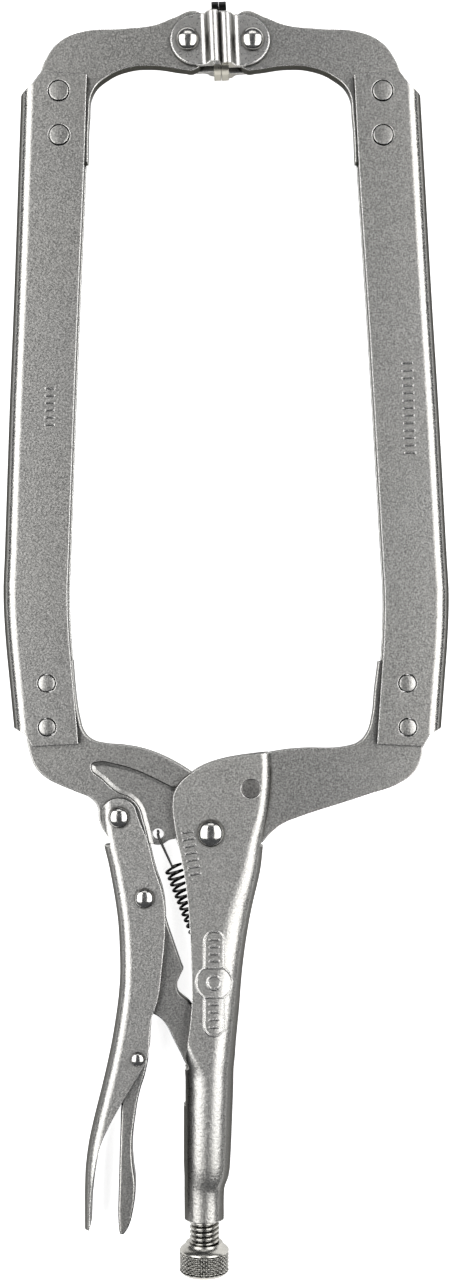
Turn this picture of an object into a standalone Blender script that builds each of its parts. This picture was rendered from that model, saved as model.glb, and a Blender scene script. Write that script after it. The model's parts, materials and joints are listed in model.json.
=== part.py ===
"""A locking C clamp with swivel pads, lying on its side.

Two long channel arms carry jaw tips and swivel pads.  The right arm is riveted to a jaw base that is
fixed in the handle, the left arm to a jaw base that swings on the main rivet.  A lever, a toggle link
and an adjusting screw lock the jaws, and a spring pulls them open.

Millimetres in this file, metres in the scene.  X runs across the clamp, Y along it towards the pads, and
Z is the axis of every rivet.  All places are measured from the main pivot's axis and the clamp's middle
plane; the empty named clamp_frame carries them to their place above the ground.
"""

import math

import bmesh
import bpy
from mathutils import Matrix, Vector

# ---------------------------------------------------------------- driving dimensions, in millimetres
MM = 0.001
PIVOT_X, PIVOT_Y, PIVOT_Z = -5.48, -69.85, 9.38  # the main pivot, from the origin under the clamp's middle

FIT_GAP = 0.3            # left between any two pieces that touch
PLATE_HALF = 3.0         # half thickness of the jaw tips and jaw bases
LINK_HALF = 2.7          # half thickness of the toggle link
ARM_SHEET = 2.9
ARM_HALF = PLATE_HALF + FIT_GAP + ARM_SHEET
ARM_BEND = 4.6           # outside radius of the arm channels' bends
HANDLE_SHEET = 2.6
HEAD_HALF = PLATE_HALF + FIT_GAP + HANDLE_SHEET
LEVER_SHEET = 2.4
LEVER_HALF = PLATE_HALF + FIT_GAP + LEVER_SHEET
TUBE_RADIUS = 8.75       # the lower handle, rolled round the screw
NECK_RADIUS = 7.15
RECESS_DEPTH = 0.9       # pressed into each face of the movable jaw base

LEVER_PIVOT = (-32.9, 5.7)
LINK_PIVOT = (-23.7, -23.2)
RELEASE_PIVOT = (-26.1, -80.5)
JAW_LOCK_RIVET = (14.4, 15.9)
SPRING_HOLE = (-19.0, -0.7)

SCREW_X = -2.4
SCREW_RADIUS = 5.3
SCREW_TIP_TOP = -92.6    # stays clear of the toggle link's foot through the whole swing
SCREW_TIP_LENGTH = 6.5
NECK_END = -139.3
KNOB_RADIUS = 8.9
KNOB_TOP = -147.9
KNOB_END = -158.9

PAD_PIVOT_HALF = 11.6    # from the line between the jaws
PAD_PIVOT_Y = 284.0
PAD_GAP = 0.8
PAD_REACH = PAD_PIVOT_HALF - PAD_GAP / 2
PAD_TILT = math.radians(2.4)
PAD_SHEET = 2.2
PAD_EAR_HEIGHT = 18.3
PAD_FACE_HEIGHT = 26.3
PAD_FACE_RISE = 1.0       # of the face's middle over the rivet
PAD_HALF_DEPTH = 9.4

SPRING_WIRE = 0.5
SPRING_COIL = 2.95       # radius of the wire's centre line
SPRING_TURNS = 14
SPRING_TURN_STEPS = 6

LEFT, RIGHT = -1, 1
CORNER, SMOOTH = "VECTOR", "AUTO"
ROUND_STEPS = 16

STEEL = ("satin_steel", (0.42, 0.41, 0.39), 0.42, 1.0)
BRIGHT = ("bright_steel", (0.62, 0.61, 0.59), 0.16, 1.0)
DARK = ("dark_steel", (0.16, 0.155, 0.15), 0.38, 1.0)


def jaw_middle(y):
    """X of the line midway between the two arms, which leans slightly over the pivot."""
    return 6.4 - 0.0108 * y


def side_x(side, y, half):
    return jaw_middle(y) + side * half


# ---------------------------------------------------------------- scene, collections and materials
def clear_scene():
    for thing in list(bpy.data.objects):
        bpy.data.objects.remove(thing, do_unlink=True)


def new_collection(name):
    made = bpy.data.collections.new(name)
    bpy.context.scene.collection.children.link(made)
    return made


def finish_material(finish):
    name, colour, roughness, metallic = finish
    found = bpy.data.materials.get(name)
    if found:
        return found
    made = bpy.data.materials.new(name)
    made.use_nodes = True
    shader = made.node_tree.nodes["Principled BSDF"]
    shader.inputs["Base Color"].default_value = (*colour, 1)
    shader.inputs["Roughness"].default_value = roughness
    shader.inputs["Metallic"].default_value = metallic
    made.diffuse_color = (*colour, 1)
    return made


# ---------------------------------------------------------------- modelling helpers
def millimetres(*values):
    return Vector([value * MM for value in values])


def link_mesh(name, mesh):
    made = bpy.data.objects.new(name, mesh)
    bpy.context.scene.collection.objects.link(made)
    return made


def discard(thing):
    bpy.data.objects.remove(thing, do_unlink=True)


def baked(thing):
    """Replaces an object by a plain welded mesh of what its curve or modifiers make."""
    bpy.context.view_layer.update()
    graph = bpy.context.evaluated_depsgraph_get()
    mesh = bpy.data.meshes.new_from_object(thing.evaluated_get(graph))
    mesh.transform(thing.matrix_world)
    name = thing.name
    discard(thing)
    work = bmesh.new()
    work.from_mesh(mesh)
    bmesh.ops.remove_doubles(work, verts=work.verts, dist=0.002 * MM)
    bmesh.ops.dissolve_degenerate(work, edges=work.edges, dist=0.002 * MM)
    work.to_mesh(mesh)
    work.free()
    return link_mesh(name, mesh)


def combine(thing, tool, operation):
    """Applies an exact Boolean and removes the tool."""
    step = thing.modifiers.new(operation.lower(), "BOOLEAN")
    step.operation = operation
    step.solver = "EXACT"
    step.object = tool
    result = baked(thing)
    discard(tool)
    return result


def slab(name, outline, low, high, holes=(), detail=3):
    """A plate between two heights: a closed outline of (x, y, kind) points with round holes (x, y, r)."""
    curve = bpy.data.curves.new(name, "CURVE")
    curve.dimensions = "2D"
    curve.fill_mode = "BOTH"
    curve.resolution_u = detail
    curve.extrude = (high - low) / 2 * MM
    edge = curve.splines.new("BEZIER")
    edge.bezier_points.add(len(outline) - 1)
    edge.use_cyclic_u = True
    for knot, (x, y, kind) in zip(edge.bezier_points, outline):
        knot.co = millimetres(x, y, 0)
        knot.handle_left_type = kind
        knot.handle_right_type = kind
    for x, y, radius in holes:
        ring = curve.splines.new("POLY")
        ring.points.add(ROUND_STEPS - 1)
        ring.use_cyclic_u = True
        for step, point in enumerate(ring.points):
            turn = 2 * math.pi * step / ROUND_STEPS
            place = millimetres(x + radius * math.cos(turn), y + radius * math.sin(turn), 0)
            point.co = (*place, 1)
    made = bpy.data.objects.new(name, curve)
    bpy.context.scene.collection.objects.link(made)
    made.location.z = (high + low) / 2 * MM
    return baked(made)


def round_bar(name, x, y, radius, low, high, steps=ROUND_STEPS):
    """A cylinder along Z."""
    mesh = bpy.data.meshes.new(name)
    work = bmesh.new()
    middle = Matrix.Translation(millimetres(x, y, (low + high) / 2))
    bmesh.ops.create_cone(work, cap_ends=True, segments=steps, radius1=radius * MM, radius2=radius * MM,
                          depth=(high - low) * MM, matrix=middle)
    work.to_mesh(mesh)
    work.free()
    return link_mesh(name, mesh)


def drill(thing, holes, low=-30, high=30):
    """Cuts round holes (x, y, radius) along Z."""
    for x, y, radius in holes:
        thing = combine(thing, round_bar("drill", x, y, radius, low, high), "DIFFERENCE")
    return thing


def box(name, low, high):
    mesh = bpy.data.meshes.new(name)
    work = bmesh.new()
    size = [b - a for a, b in zip(low, high)]
    middle = [(a + b) / 2 for a, b in zip(low, high)]
    place = Matrix.Translation(millimetres(*middle)) @ Matrix.Diagonal((*millimetres(*size), 1))
    bmesh.ops.create_cube(work, size=1, matrix=place)
    work.to_mesh(mesh)
    work.free()
    return link_mesh(name, mesh)


def turned(name, profile, steps):
    """A solid of revolution about Z from (radius, height) points that run from the top to the bottom."""
    mesh = bpy.data.meshes.new(name)
    points = [millimetres(radius, 0, height) for radius, height in profile]
    edges = [(i, i + 1) for i in range(len(points) - 1)]
    mesh.from_pydata(points, edges, [])
    made = link_mesh(name, mesh)
    spin = made.modifiers.new("spin", "SCREW")
    spin.axis = "Z"
    spin.angle = 2 * math.pi
    spin.steps = steps
    spin.render_steps = steps
    spin.use_merge_vertices = True
    spin.merge_threshold = 0.00001
    return baked(made)


def rounded_box_section(y, left, right, half, left_round, right_round, left_steps=4, right_steps=4):
    """One station of a channel: a rounded rectangle in the XZ plane.  A corner of no steps is sharp."""
    corners = (
        (right, half, 1, 1, right_round, right_steps, 0),
        (left, half, -1, 1, left_round, left_steps, 1),
        (left, half, -1, -1, left_round, left_steps, 2),
        (right, half, 1, -1, right_round, right_steps, 3),
    )
    points = []
    for x, z, x_way, z_way, radius, steps, quarter in corners:
        if steps == 0:
            points.append(millimetres(x, y, z_way * z))
            continue
        for step in range(steps + 1):
            turn = math.pi / 2 * (quarter + step / steps)
            across = x - x_way * radius + radius * math.cos(turn)
            points.append(millimetres(across, y, z_way * (z - radius) + radius * math.sin(turn)))
    return points


def loft(name, sections):
    """A closed solid through sections that have the same number of points."""
    mesh = bpy.data.meshes.new(name)
    work = bmesh.new()
    rings = [[work.verts.new(point) for point in section] for section in sections]
    count = len(rings[0])
    for low, high in zip(rings, rings[1:]):
        for i in range(count):
            j = (i + 1) % count
            work.faces.new((low[i], low[j], high[j], high[i]))
    work.faces.new(rings[0])
    work.faces.new(rings[-1])
    bmesh.ops.recalc_face_normals(work, faces=work.faces)
    bmesh.ops.triangulate(work, faces=work.faces)
    work.to_mesh(mesh)
    work.free()
    return link_mesh(name, mesh)


def frame_empty(name, parent, x, y, z):
    made = bpy.data.objects.new(name, None)
    bpy.context.scene.collection.objects.link(made)
    made.empty_display_size = 0.01
    made.location = millimetres(x, y, z)
    made.parent = parent
    return made


def place(thing, pivot, collection, finish, smooth=True):
    """Puts a piece that was made round the main pivot under its joint's empty, with its finish."""
    name = thing.name
    thing.data.name = name
    thing.data.transform(Matrix.Translation(-pivot["from_main"]))
    thing.parent = pivot["empty"]
    thing.data.materials.clear()
    thing.data.materials.append(finish_material(finish))
    if smooth:
        thing.data.shade_smooth()
        thing.data.set_sharp_from_angle(angle=math.radians(35))
    for holder in list(thing.users_collection):
        holder.objects.unlink(thing)
    collection.objects.link(thing)
    return thing


# ---------------------------------------------------------------- rivets
def pin_rivet(name, x, y, radius, half, rise=0.45):
    """A rivet that fills its hole and stands just proud of both sides."""
    top = half + rise
    profile = [(0, top), (radius * 0.75, top), (radius, top - 0.3), (radius, 0.3 - top),
               (radius * 0.75, -top), (0, -top)]
    made = turned(name, profile, ROUND_STEPS)
    made.data.transform(Matrix.Translation(millimetres(x, y, 0)))
    return made


def dome_rivet(name, x, y, shank, head, height, half):
    """A rivet with a round head on both sides."""
    skirt = half + FIT_GAP
    top = skirt + height
    rise = height - 0.4
    curve = [(head * math.sin(turn), skirt + 0.4 + rise * math.cos(turn))
             for turn in (math.pi / 2 * step / 4 for step in range(5))]
    upper = [(0, top)] + curve[1:] + [(head, skirt), (shank, skirt)]
    lower = [(radius, -height_) for radius, height_ in reversed(upper)]
    made = turned(name, upper + lower, ROUND_STEPS)
    made.data.transform(Matrix.Translation(millimetres(x, y, 0)))
    return made


TIP_RIVET = (3.55, (265.4, 249.6), 57.9)      # radius, heights and half spacing of the rivets at the tips
BASE_RIVET = (3.05, (53.6, 37.9), 64.5)


def arm_rivet_places(side):
    """(name, x, y, radius) of an arm's four rivets."""
    word = "movable" if side == LEFT else "fixed"
    places = []
    for group, (radius, heights, half) in (("tip", TIP_RIVET), ("base", BASE_RIVET)):
        for number, y in enumerate(heights, 1):
            places.append((f"{word}_{group}_rivet_{number}", side_x(side, y, half), y, radius))
    return places


def arm_rivet_holes(side, group):
    return [(x, y, radius + FIT_GAP) for name, x, y, radius in arm_rivet_places(side) if group in name]


# ---------------------------------------------------------------- arms and tips, a mirrored pair
ARM_EDGES = (            # y, half spacing of the outer edge, half spacing of the inner edge
    (276.0, 71.4, 47.6),
    (264.6, 71.9, 48.1),
    (240.4, 73.0, 49.1),
    (194.4, 75.1, 51.6),
    (153.0, 77.2, 53.7),
    (99.0, 79.6, 56.2),
    (85.3, 80.2, 56.8),
    (70.0, 79.6, 56.4),
    (52.0, 78.1, 55.0),
    (38.0, 76.9, 53.9),
    (28.0, 76.0, 53.2),
)


def arm_sections(side, inset, mouth):
    """Sections of an arm, inset all round by the sheet, with the inner edge moved by mouth."""
    sections = []
    bend = max(ARM_BEND - inset, 0.8)
    steps = 4 if inset == 0 else 2
    for y, outer, inner in ARM_EDGES:
        far = side_x(side, y, outer - inset)
        near = side_x(side, y, inner - mouth)
        depth = ARM_HALF - inset
        if side == LEFT:
            sections.append(rounded_box_section(y, far, near, depth, bend, 0, steps, 0))
        else:
            sections.append(rounded_box_section(y, near, far, depth, 0, bend, 0, steps))
    return sections


def arm(side):
    """A channel of bent sheet: a back along the outer edge and two cheeks, with its ends cut to shape."""
    name = "movable_arm" if side == LEFT else "fixed_arm"
    body = loft(name, arm_sections(side, 0, 0))
    ends = [
        (272.2, 64.1), (271.0, 40.0), (32.6, 40.0), (31.0, 69.9), (35.2, 72.3), (38.3, 78.0),
        (39.0, 90.0), (264.0, 90.0), (264.6, 71.8), (268.0, 67.4),
    ]
    trim = [(side_x(side, y, half), y, CORNER) for y, half in ends]
    body = combine(body, slab("trim", trim, -20, 20), "INTERSECT")
    body = combine(body, loft("pocket", arm_sections(side, ARM_SHEET, 4.0)), "DIFFERENCE")
    return drill(body, arm_rivet_holes(side, "rivet"))


def jaw_tip(side):
    """The plate from the arm's top to the swivel pad."""
    name = "movable_jaw_tip" if side == LEFT else "fixed_jaw_tip"
    points = [
        (293.6, 6.4, SMOOTH), (295.2, 9.3, SMOOTH), (292.9, 16.2, SMOOTH), (290.1, 23.6, SMOOTH),
        (288.8, 35.0, SMOOTH), (287.6, 50.0, SMOOTH), (283.9, 58.0, SMOOTH), (277.6, 62.9, SMOOTH),
        (271.6, 65.2, CORNER), (266.0, 66.0, CORNER), (240.8, 67.0, CORNER), (240.8, 48.0, CORNER),
        (256.8, 47.3, SMOOTH), (266.4, 45.8, SMOOTH), (271.5, 40.6, SMOOTH), (274.7, 33.0, SMOOTH),
        (275.4, 24.0, SMOOTH), (274.0, 13.0, SMOOTH), (273.8, 9.6, SMOOTH), (276.6, 6.4, SMOOTH),
    ]
    outline = [(side_x(side, y, half), y, kind) for y, half, kind in points]
    pad_hole = (side_x(side, PAD_PIVOT_Y, PAD_PIVOT_HALF), PAD_PIVOT_Y, 2.6 + FIT_GAP)
    holes = arm_rivet_holes(side, "tip") + [pad_hole]
    return slab(name, outline, -PLATE_HALF, PLATE_HALF, holes)


# ---------------------------------------------------------------- swivel pads
def arc(x, z, radius, start, end, steps):
    """Points on an arc, in degrees."""
    turns = [math.radians(start + (end - start) * i / steps) for i in range(steps + 1)]
    return [(x + radius * math.cos(turn), z + radius * math.sin(turn)) for turn in turns]


def pad_section():
    """Half of the pad's folded sheet, as (reach from its rivet, depth) points of the side with +Z."""
    ear_low = PLATE_HALF + FIT_GAP
    ear_high = ear_low + PAD_SHEET
    hem_back = PAD_REACH - 2 * PAD_SHEET
    hem_z = PAD_HALF_DEPTH - PAD_SHEET
    fillet = 2.4
    points = [(-8.0, ear_high)]
    points += arc(hem_back - fillet, ear_high + fillet, fillet, -90, -20, 3)
    points += [(hem_back, hem_z + 0.2)]
    points += arc(hem_back + PAD_SHEET, hem_z, PAD_SHEET, 165, 0, 6)
    return points, [(PAD_REACH - PAD_SHEET, ear_low), (-8.0, ear_low)]


def swivel_pad(side):
    """A pad of folded sheet: a flat face, hemmed edges and two round ears over the jaw tip."""
    name = "movable_pad" if side == LEFT else "fixed_pad"
    outer, inner = pad_section()
    mirror = [(x, -z) for x, z in reversed(outer)]
    ring = outer + mirror + [(x, -z) for x, z in reversed(inner)] + inner
    folded = slab(name, [(x, z, CORNER) for x, z in ring], -PAD_EAR_HEIGHT / 2, PAD_EAR_HEIGHT / 2)
    folded.data.transform(Matrix.Rotation(math.pi / 2, 4, "X"))
    ear = PAD_EAR_HEIGHT / 2
    bow = [(x, y, CORNER) for x, y in arc(2.7, 0, 8.9, 90, 270, 14)]
    trim = bow + [(2.7, -ear - 1, CORNER), (20, -ear - 1, CORNER)]
    trim += [(20, ear + 1, CORNER), (2.7, ear + 1, CORNER)]
    folded = combine(folded, slab("trim", trim, -20, 20), "INTERSECT")
    face = pad_face()
    face.data.transform(Matrix.Translation(millimetres(0, -side * PAD_FACE_RISE, 0)))
    pad = combine(folded, face, "UNION")
    pad = drill(pad, [(0, 0, 2.6 + FIT_GAP)])
    if side == RIGHT:
        pad.data.transform(Matrix.Rotation(math.pi, 4, "Z"))
    pad.data.transform(Matrix.Rotation(PAD_TILT, 4, "Z"))
    x = side_x(side, PAD_PIVOT_Y, PAD_PIVOT_HALF)
    pad.data.transform(Matrix.Translation(millimetres(x, PAD_PIVOT_Y, 0)))
    pad.name = name
    return pad


def pad_face():
    """The gripping face, taller than the ears and with round ends."""
    tall = PAD_FACE_HEIGHT / 2
    wide = PAD_HALF_DEPTH - 1.6
    corner = 5.0
    points = arc(tall - corner, wide - corner, corner, 0, 90, 4)
    points += arc(corner - tall, wide - corner, corner, 90, 180, 4)
    points += arc(corner - tall, corner - wide, corner, 180, 270, 4)
    points += arc(tall - corner, corner - wide, corner, 270, 360, 4)
    outline = [(y, z, CORNER) for y, z in points]
    face = slab("face", outline, 0.02, PAD_SHEET + 0.4)
    face.data.transform(Matrix(((0, 0, 1, 0), (1, 0, 0, 0), (0, 1, 0, 0), (0, 0, 0, 1))))
    face.data.transform(Matrix.Translation(millimetres(PAD_REACH - PAD_SHEET - 0.4, 0, 0)))
    return face


# ---------------------------------------------------------------- jaw bases
JAW_BOSS = 13.0


def movable_jaw_base():
    """The swinging plate between the left arm, the main pivot and the lever, with a pressed recess."""
    outline = [
        (-49.6, 62.0, CORNER), (-68.0, 62.0, CORNER), (-67.2, 40.0, CORNER), (-66.4, 35.0, SMOOTH),
        (-65.2, 28.8, SMOOTH), (-63.0, 23.3, SMOOTH), (-59.0, 19.4, SMOOTH), (-54.2, 16.9, SMOOTH),
        (-48.1, 14.4, SMOOTH), (-43.2, 12.2, SMOOTH), (-40.8, 9.2, SMOOTH), (-40.1, 4.0, SMOOTH),
        (-37.0, -1.0, SMOOTH), (-31.5, -2.6, SMOOTH), (-24.6, -2.7, SMOOTH), (-21.0, -4.3, SMOOTH),
        (-17.6, -4.4, SMOOTH), (-15.0, -2.9, SMOOTH), (-12.7, -2.4, CORNER), (-9.8, -8.4, SMOOTH),
        (0.0, -JAW_BOSS, SMOOTH), (9.2, -9.2, SMOOTH), (JAW_BOSS, 0.0, SMOOTH), (9.2, 9.2, SMOOTH),
        (2.0, 14.4, SMOOTH), (-7.0, 21.6, SMOOTH), (-12.5, 25.1, SMOOTH), (-17.9, 27.8, SMOOTH),
        (-24.8, 30.2, SMOOTH), (-31.6, 31.4, SMOOTH), (-38.5, 32.0, SMOOTH), (-42.7, 33.2, SMOOTH),
        (-45.6, 36.0, SMOOTH), (-47.2, 41.0, SMOOTH), (-48.6, 50.0, SMOOTH),
    ]
    holes = arm_rivet_holes(LEFT, "base")
    holes += [(0, 0, 3.4 + FIT_GAP), (*LEVER_PIVOT, 2.6 + FIT_GAP), (*SPRING_HOLE, 2.0)]
    jaw = slab("movable_jaw_base", outline, -PLATE_HALF, PLATE_HALF, holes)
    recess = [
        (-43.4, 24.0, SMOOTH), (-41.0, 25.6, SMOOTH), (-34.4, 24.9, SMOOTH), (-27.5, 23.0, SMOOTH),
        (-20.7, 20.0, SMOOTH), (-13.8, 16.6, CORNER), (-4.0, 17.5, CORNER), (30.0, 10.0, CORNER),
        (30.0, -30.0, CORNER), (-21.4, -30.0, CORNER), (-22.4, -5.0, CORNER), (-24.6, 4.0, SMOOTH),
        (-26.4, 9.2, SMOOTH), (-29.6, 12.3, SMOOTH), (-33.7, 14.0, SMOOTH), (-38.5, 18.1, SMOOTH),
    ]
    for low, high in ((PLATE_HALF - RECESS_DEPTH, 10), (-10, RECESS_DEPTH - PLATE_HALF)):
        jaw = combine(jaw, slab("recess", recess, low, high), "DIFFERENCE")
    return jaw


def fixed_jaw_base():
    """The plate that joins the right arm to the handle, hollowed round the swinging jaw's boss."""
    clear = JAW_BOSS + 1.2
    hollow = [(x, y, CORNER) for x, y in arc(0, 0, clear, 62, -4, 8)]
    outline = hollow + [
        (18.4, -3.8, CORNER), (21.8, 0.0, SMOOTH), (25.8, 3.1, SMOOTH), (31.9, 5.6, SMOOTH),
        (49.8, 11.4, SMOOTH), (57.0, 13.8, SMOOTH), (66.9, 17.2, SMOOTH), (73.0, 21.6, SMOOTH),
        (75.4, 26.2, SMOOTH), (76.2, 31.0, SMOOTH), (78.2, 40.0, CORNER), (80.4, 61.6, CORNER),
        (60.2, 61.6, CORNER), (59.0, 52.0, SMOOTH), (57.9, 41.4, SMOOTH), (56.3, 35.9, SMOOTH),
        (53.6, 32.6, SMOOTH), (49.6, 31.0, SMOOTH), (32.0, 30.2, SMOOTH), (25.8, 29.6, SMOOTH),
        (12.0, 26.8, CORNER),
    ]
    holes = arm_rivet_holes(RIGHT, "base") + [(*JAW_LOCK_RIVET, 3.2 + FIT_GAP)]
    return slab("fixed_jaw_base", outline, -PLATE_HALF, PLATE_HALF, holes)


# ---------------------------------------------------------------- fixed handle
HANDLE_STATIONS = (      # y, left, right, half depth, left rounding, right rounding
    (34.0, -20.0, 21.5, HEAD_HALF, 0.1, 4.0),
    (22.0, -20.0, 22.3, HEAD_HALF, 0.1, 4.0),
    (8.0, -20.0, 21.2, HEAD_HALF, 0.1, 4.0),
    (-3.5, -20.0, 19.0, HEAD_HALF, 0.1, 4.2),
    (-14.0, -18.0, 17.8, HEAD_HALF + 0.2, 0.1, 4.8),
    (-28.0, -15.0, 14.6, HEAD_HALF + 0.6, 0.1, 5.4),
    (-39.5, -13.0, 12.6, HEAD_HALF + 1.0, 0.1, 6.0),
    (-50.8, -11.5, 11.2, HEAD_HALF + 1.5, 0.3, 6.6),
    (-63.4, -10.2, 10.2, HEAD_HALF + 2.0, 1.5, 7.4),
    (-75.0, -9.8, 9.1, TUBE_RADIUS - 0.4, 5.0, 8.1),
    (-85.0, -9.8, 8.2, TUBE_RADIUS, 8.5, 8.5),
    (-100.0, -9.8, 7.8, TUBE_RADIUS, 8.7, 8.7),
    (-119.0, -9.8, 7.0, 8.4, 8.3, 8.3),
    (-124.0, -9.6, 6.4, 7.9, 7.8, 7.8),
    (-128.5, -9.6, 4.9, NECK_RADIUS, 7.1, 7.1),
    (NECK_END, -9.5, 4.7, NECK_RADIUS - 0.1, 7.0, 7.0),
)
HANDLE_CAVITY = (
    (40.0, -30.0, 40.0, PLATE_HALF + FIT_GAP, 0.1, 0.1),
    (-4.4, -30.0, 40.0, PLATE_HALF + FIT_GAP, 0.1, 0.1),
    (-4.9, -30.0, 16.3, PLATE_HALF + FIT_GAP, 0.1, 2.0),
    (-14.0, -30.0, 15.2, PLATE_HALF + FIT_GAP + 0.2, 0.1, 2.2),
    (-28.0, -30.0, 12.0, PLATE_HALF + FIT_GAP + 0.7, 0.1, 2.8),
    (-39.5, -30.0, 10.0, PLATE_HALF + FIT_GAP + 1.2, 0.1, 3.4),
    (-50.8, -30.0, 8.6, PLATE_HALF + FIT_GAP + 1.7, 0.1, 4.0),
    (-63.4, -30.0, 7.6, 5.4, 0.1, 4.8),
    (-75.0, -30.0, 6.5, 5.8, 0.1, 5.6),
    (-81.0, -16.0, 6.0, 6.1, 2.0, 6.0),
    (-86.0, -8.1, 5.6, 6.3, 6.0, 6.2),
    (-100.0, -8.1, 5.2, 6.3, 6.2, 6.2),
    (-116.0, -8.1, 4.6, 6.1, 6.0, 6.0),
    (-124.0, SCREW_X - SCREW_RADIUS - FIT_GAP, SCREW_X + SCREW_RADIUS + FIT_GAP, 5.6, 5.55, 5.55),
    (NECK_END - 4, SCREW_X - SCREW_RADIUS - FIT_GAP, SCREW_X + SCREW_RADIUS + FIT_GAP, 5.6, 5.55, 5.55),
)


def handle_sections(stations):
    return [rounded_box_section(*row) for row in stations]


def handle_outline():
    """The fixed handle's outline seen along the rivets: a broad head that narrows to the tube."""
    head = [
        (17.6, 28.4, CORNER), (10.1, 27.4, SMOOTH), (3.3, 26.0, SMOOTH), (-2.9, 23.8, SMOOTH),
        (-7.2, 21.2, SMOOTH), (-10.8, 18.1, SMOOTH), (-13.0, 14.6, SMOOTH), (-13.6, 11.0, SMOOTH),
        (-13.2, 4.8, SMOOTH), (-12.1, -2.0, SMOOTH), (-10.5, -9.3, SMOOTH), (-8.8, -19.5, SMOOTH),
        (-7.9, -28.1, SMOOTH), (-7.3, -38.3, SMOOTH), (-6.8, -50.0, SMOOTH), (-6.9, -63.4, SMOOTH),
        (-8.2, -74.5, SMOOTH), (-9.6, -82.3, SMOOTH), (-12.0, -88.0, CORNER), (-12.0, -150.0, CORNER),
    ]
    back = [
        (20.0, -150.0, CORNER), (30.0, -4.9, CORNER), (18.4, -4.3, CORNER), (18.4, -3.4, SMOOTH),
        (19.6, 0.0, SMOOTH), (21.3, 9.0, SMOOTH), (22.1, 18.0, SMOOTH), (20.7, 28.7, CORNER),
    ]
    return head + back


def spring_tab():
    """A tongue pressed in from the handle's back, for the spring's lower hook."""
    return box("tab", (3.6, -50.6, -1.0), (10.0, -48.2, 1.0))


def fixed_handle():
    """One pressed sheet: two cheeks over the jaws, a channel below them, and a tube for the screw."""
    body = loft("fixed_handle", handle_sections(HANDLE_STATIONS))
    body = combine(body, slab("trim", handle_outline(), -20, 20), "INTERSECT")
    body = combine(body, loft("cavity", handle_sections(HANDLE_CAVITY)), "DIFFERENCE")
    mouth = box("mouth", (-20, -98, -3.3), (-4, -78, 3.3))
    body = combine(body, mouth, "DIFFERENCE")
    seam = box("seam", (-20, NECK_END - 2, -0.35), (SCREW_X - 4, -96, 0.35))
    body = combine(body, seam, "DIFFERENCE")
    body = combine(body, spring_tab(), "UNION")
    holes = [(0, 0, 3.4 + FIT_GAP), (*JAW_LOCK_RIVET, 3.2 + FIT_GAP)]
    return drill(body, holes)


# ---------------------------------------------------------------- lever, link and release lever
LEVER_EDGES = (          # y, outer edge, half depth
    (14.0, -40.4, LEVER_HALF),
    (4.0, -39.9, LEVER_HALF),
    (-4.0, -38.6, LEVER_HALF + 0.15),
    (-12.9, -36.5, LEVER_HALF + 0.3),
    (-28.6, -33.8, LEVER_HALF + 0.55),
    (-39.6, -32.9, LEVER_HALF + 0.75),
    (-54.4, -32.8, LEVER_HALF + 1.0),
    (-71.6, -35.0, LEVER_HALF + 1.3),
    (-85.9, -37.9, LEVER_HALF + 1.55),
    (-107.8, -43.2, LEVER_HALF + 1.95),
    (-118.5, -44.8, LEVER_HALF + 2.1),
    (-127.4, -45.2, LEVER_HALF + 2.25),
    (-136.0, -45.2, LEVER_HALF + 2.4),
    (-146.0, -45.2, LEVER_HALF + 2.6),
)


def lever_sections(inset, reach):
    bend = 4.2 - inset
    steps = 4 if inset == 0 else 2
    return [rounded_box_section(y, edge + inset, reach, half - inset, bend, 0, steps, 0)
            for y, edge, half in LEVER_EDGES]


def lever_handle():
    """The movable handle: a channel that opens towards the fixed handle and tapers to its back."""
    body = loft("lever_handle", lever_sections(0, 10.0))
    outline = [(x, y, CORNER) for x, y in arc(*LEVER_PIVOT, 6.7, 165, 30, 9)]
    outline += [
        (-25.5, 4.1, SMOOTH), (-22.8, -2.4, SMOOTH), (-20.0, -13.2, SMOOTH), (-17.4, -21.2, SMOOTH),
        (-16.5, -27.0, SMOOTH), (-16.4, -34.2, SMOOTH), (-17.5, -47.8, SMOOTH), (-19.2, -60.1, SMOOTH),
        (-21.2, -66.3, SMOOTH), (-21.9, -72.2, SMOOTH), (-22.5, -79.6, SMOOTH), (-24.2, -83.6, SMOOTH),
        (-28.4, -90.6, SMOOTH), (-32.6, -97.7, SMOOTH), (-36.2, -104.3, SMOOTH), (-39.7, -112.6, SMOOTH),
        (-42.0, -123.9, SMOOTH), (-42.9, -131.6, SMOOTH), (-43.3, -141.8, CORNER), (-60.0, -141.8, CORNER),
        (-60.0, -5.0, CORNER), (-36.1, -4.6, CORNER), (-36.0, -2.8, CORNER), (-38.4, 1.4, SMOOTH),
    ]
    body = combine(body, slab("trim", outline, -20, 20), "INTERSECT")
    body = combine(body, loft("pocket", lever_sections(LEVER_SHEET, 20.0)), "DIFFERENCE")
    clear = box("clear", (-60, -4.8, 0.2 - LEVER_HALF + LEVER_SHEET), (0, 20, LEVER_HALF - LEVER_SHEET - 0.2))
    body = combine(body, clear, "DIFFERENCE")
    holes = [(*LEVER_PIVOT, 2.6 + FIT_GAP), (*LINK_PIVOT, 2.4 + FIT_GAP), (*RELEASE_PIVOT, 1.6 + FIT_GAP)]
    return drill(body, holes)


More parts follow.
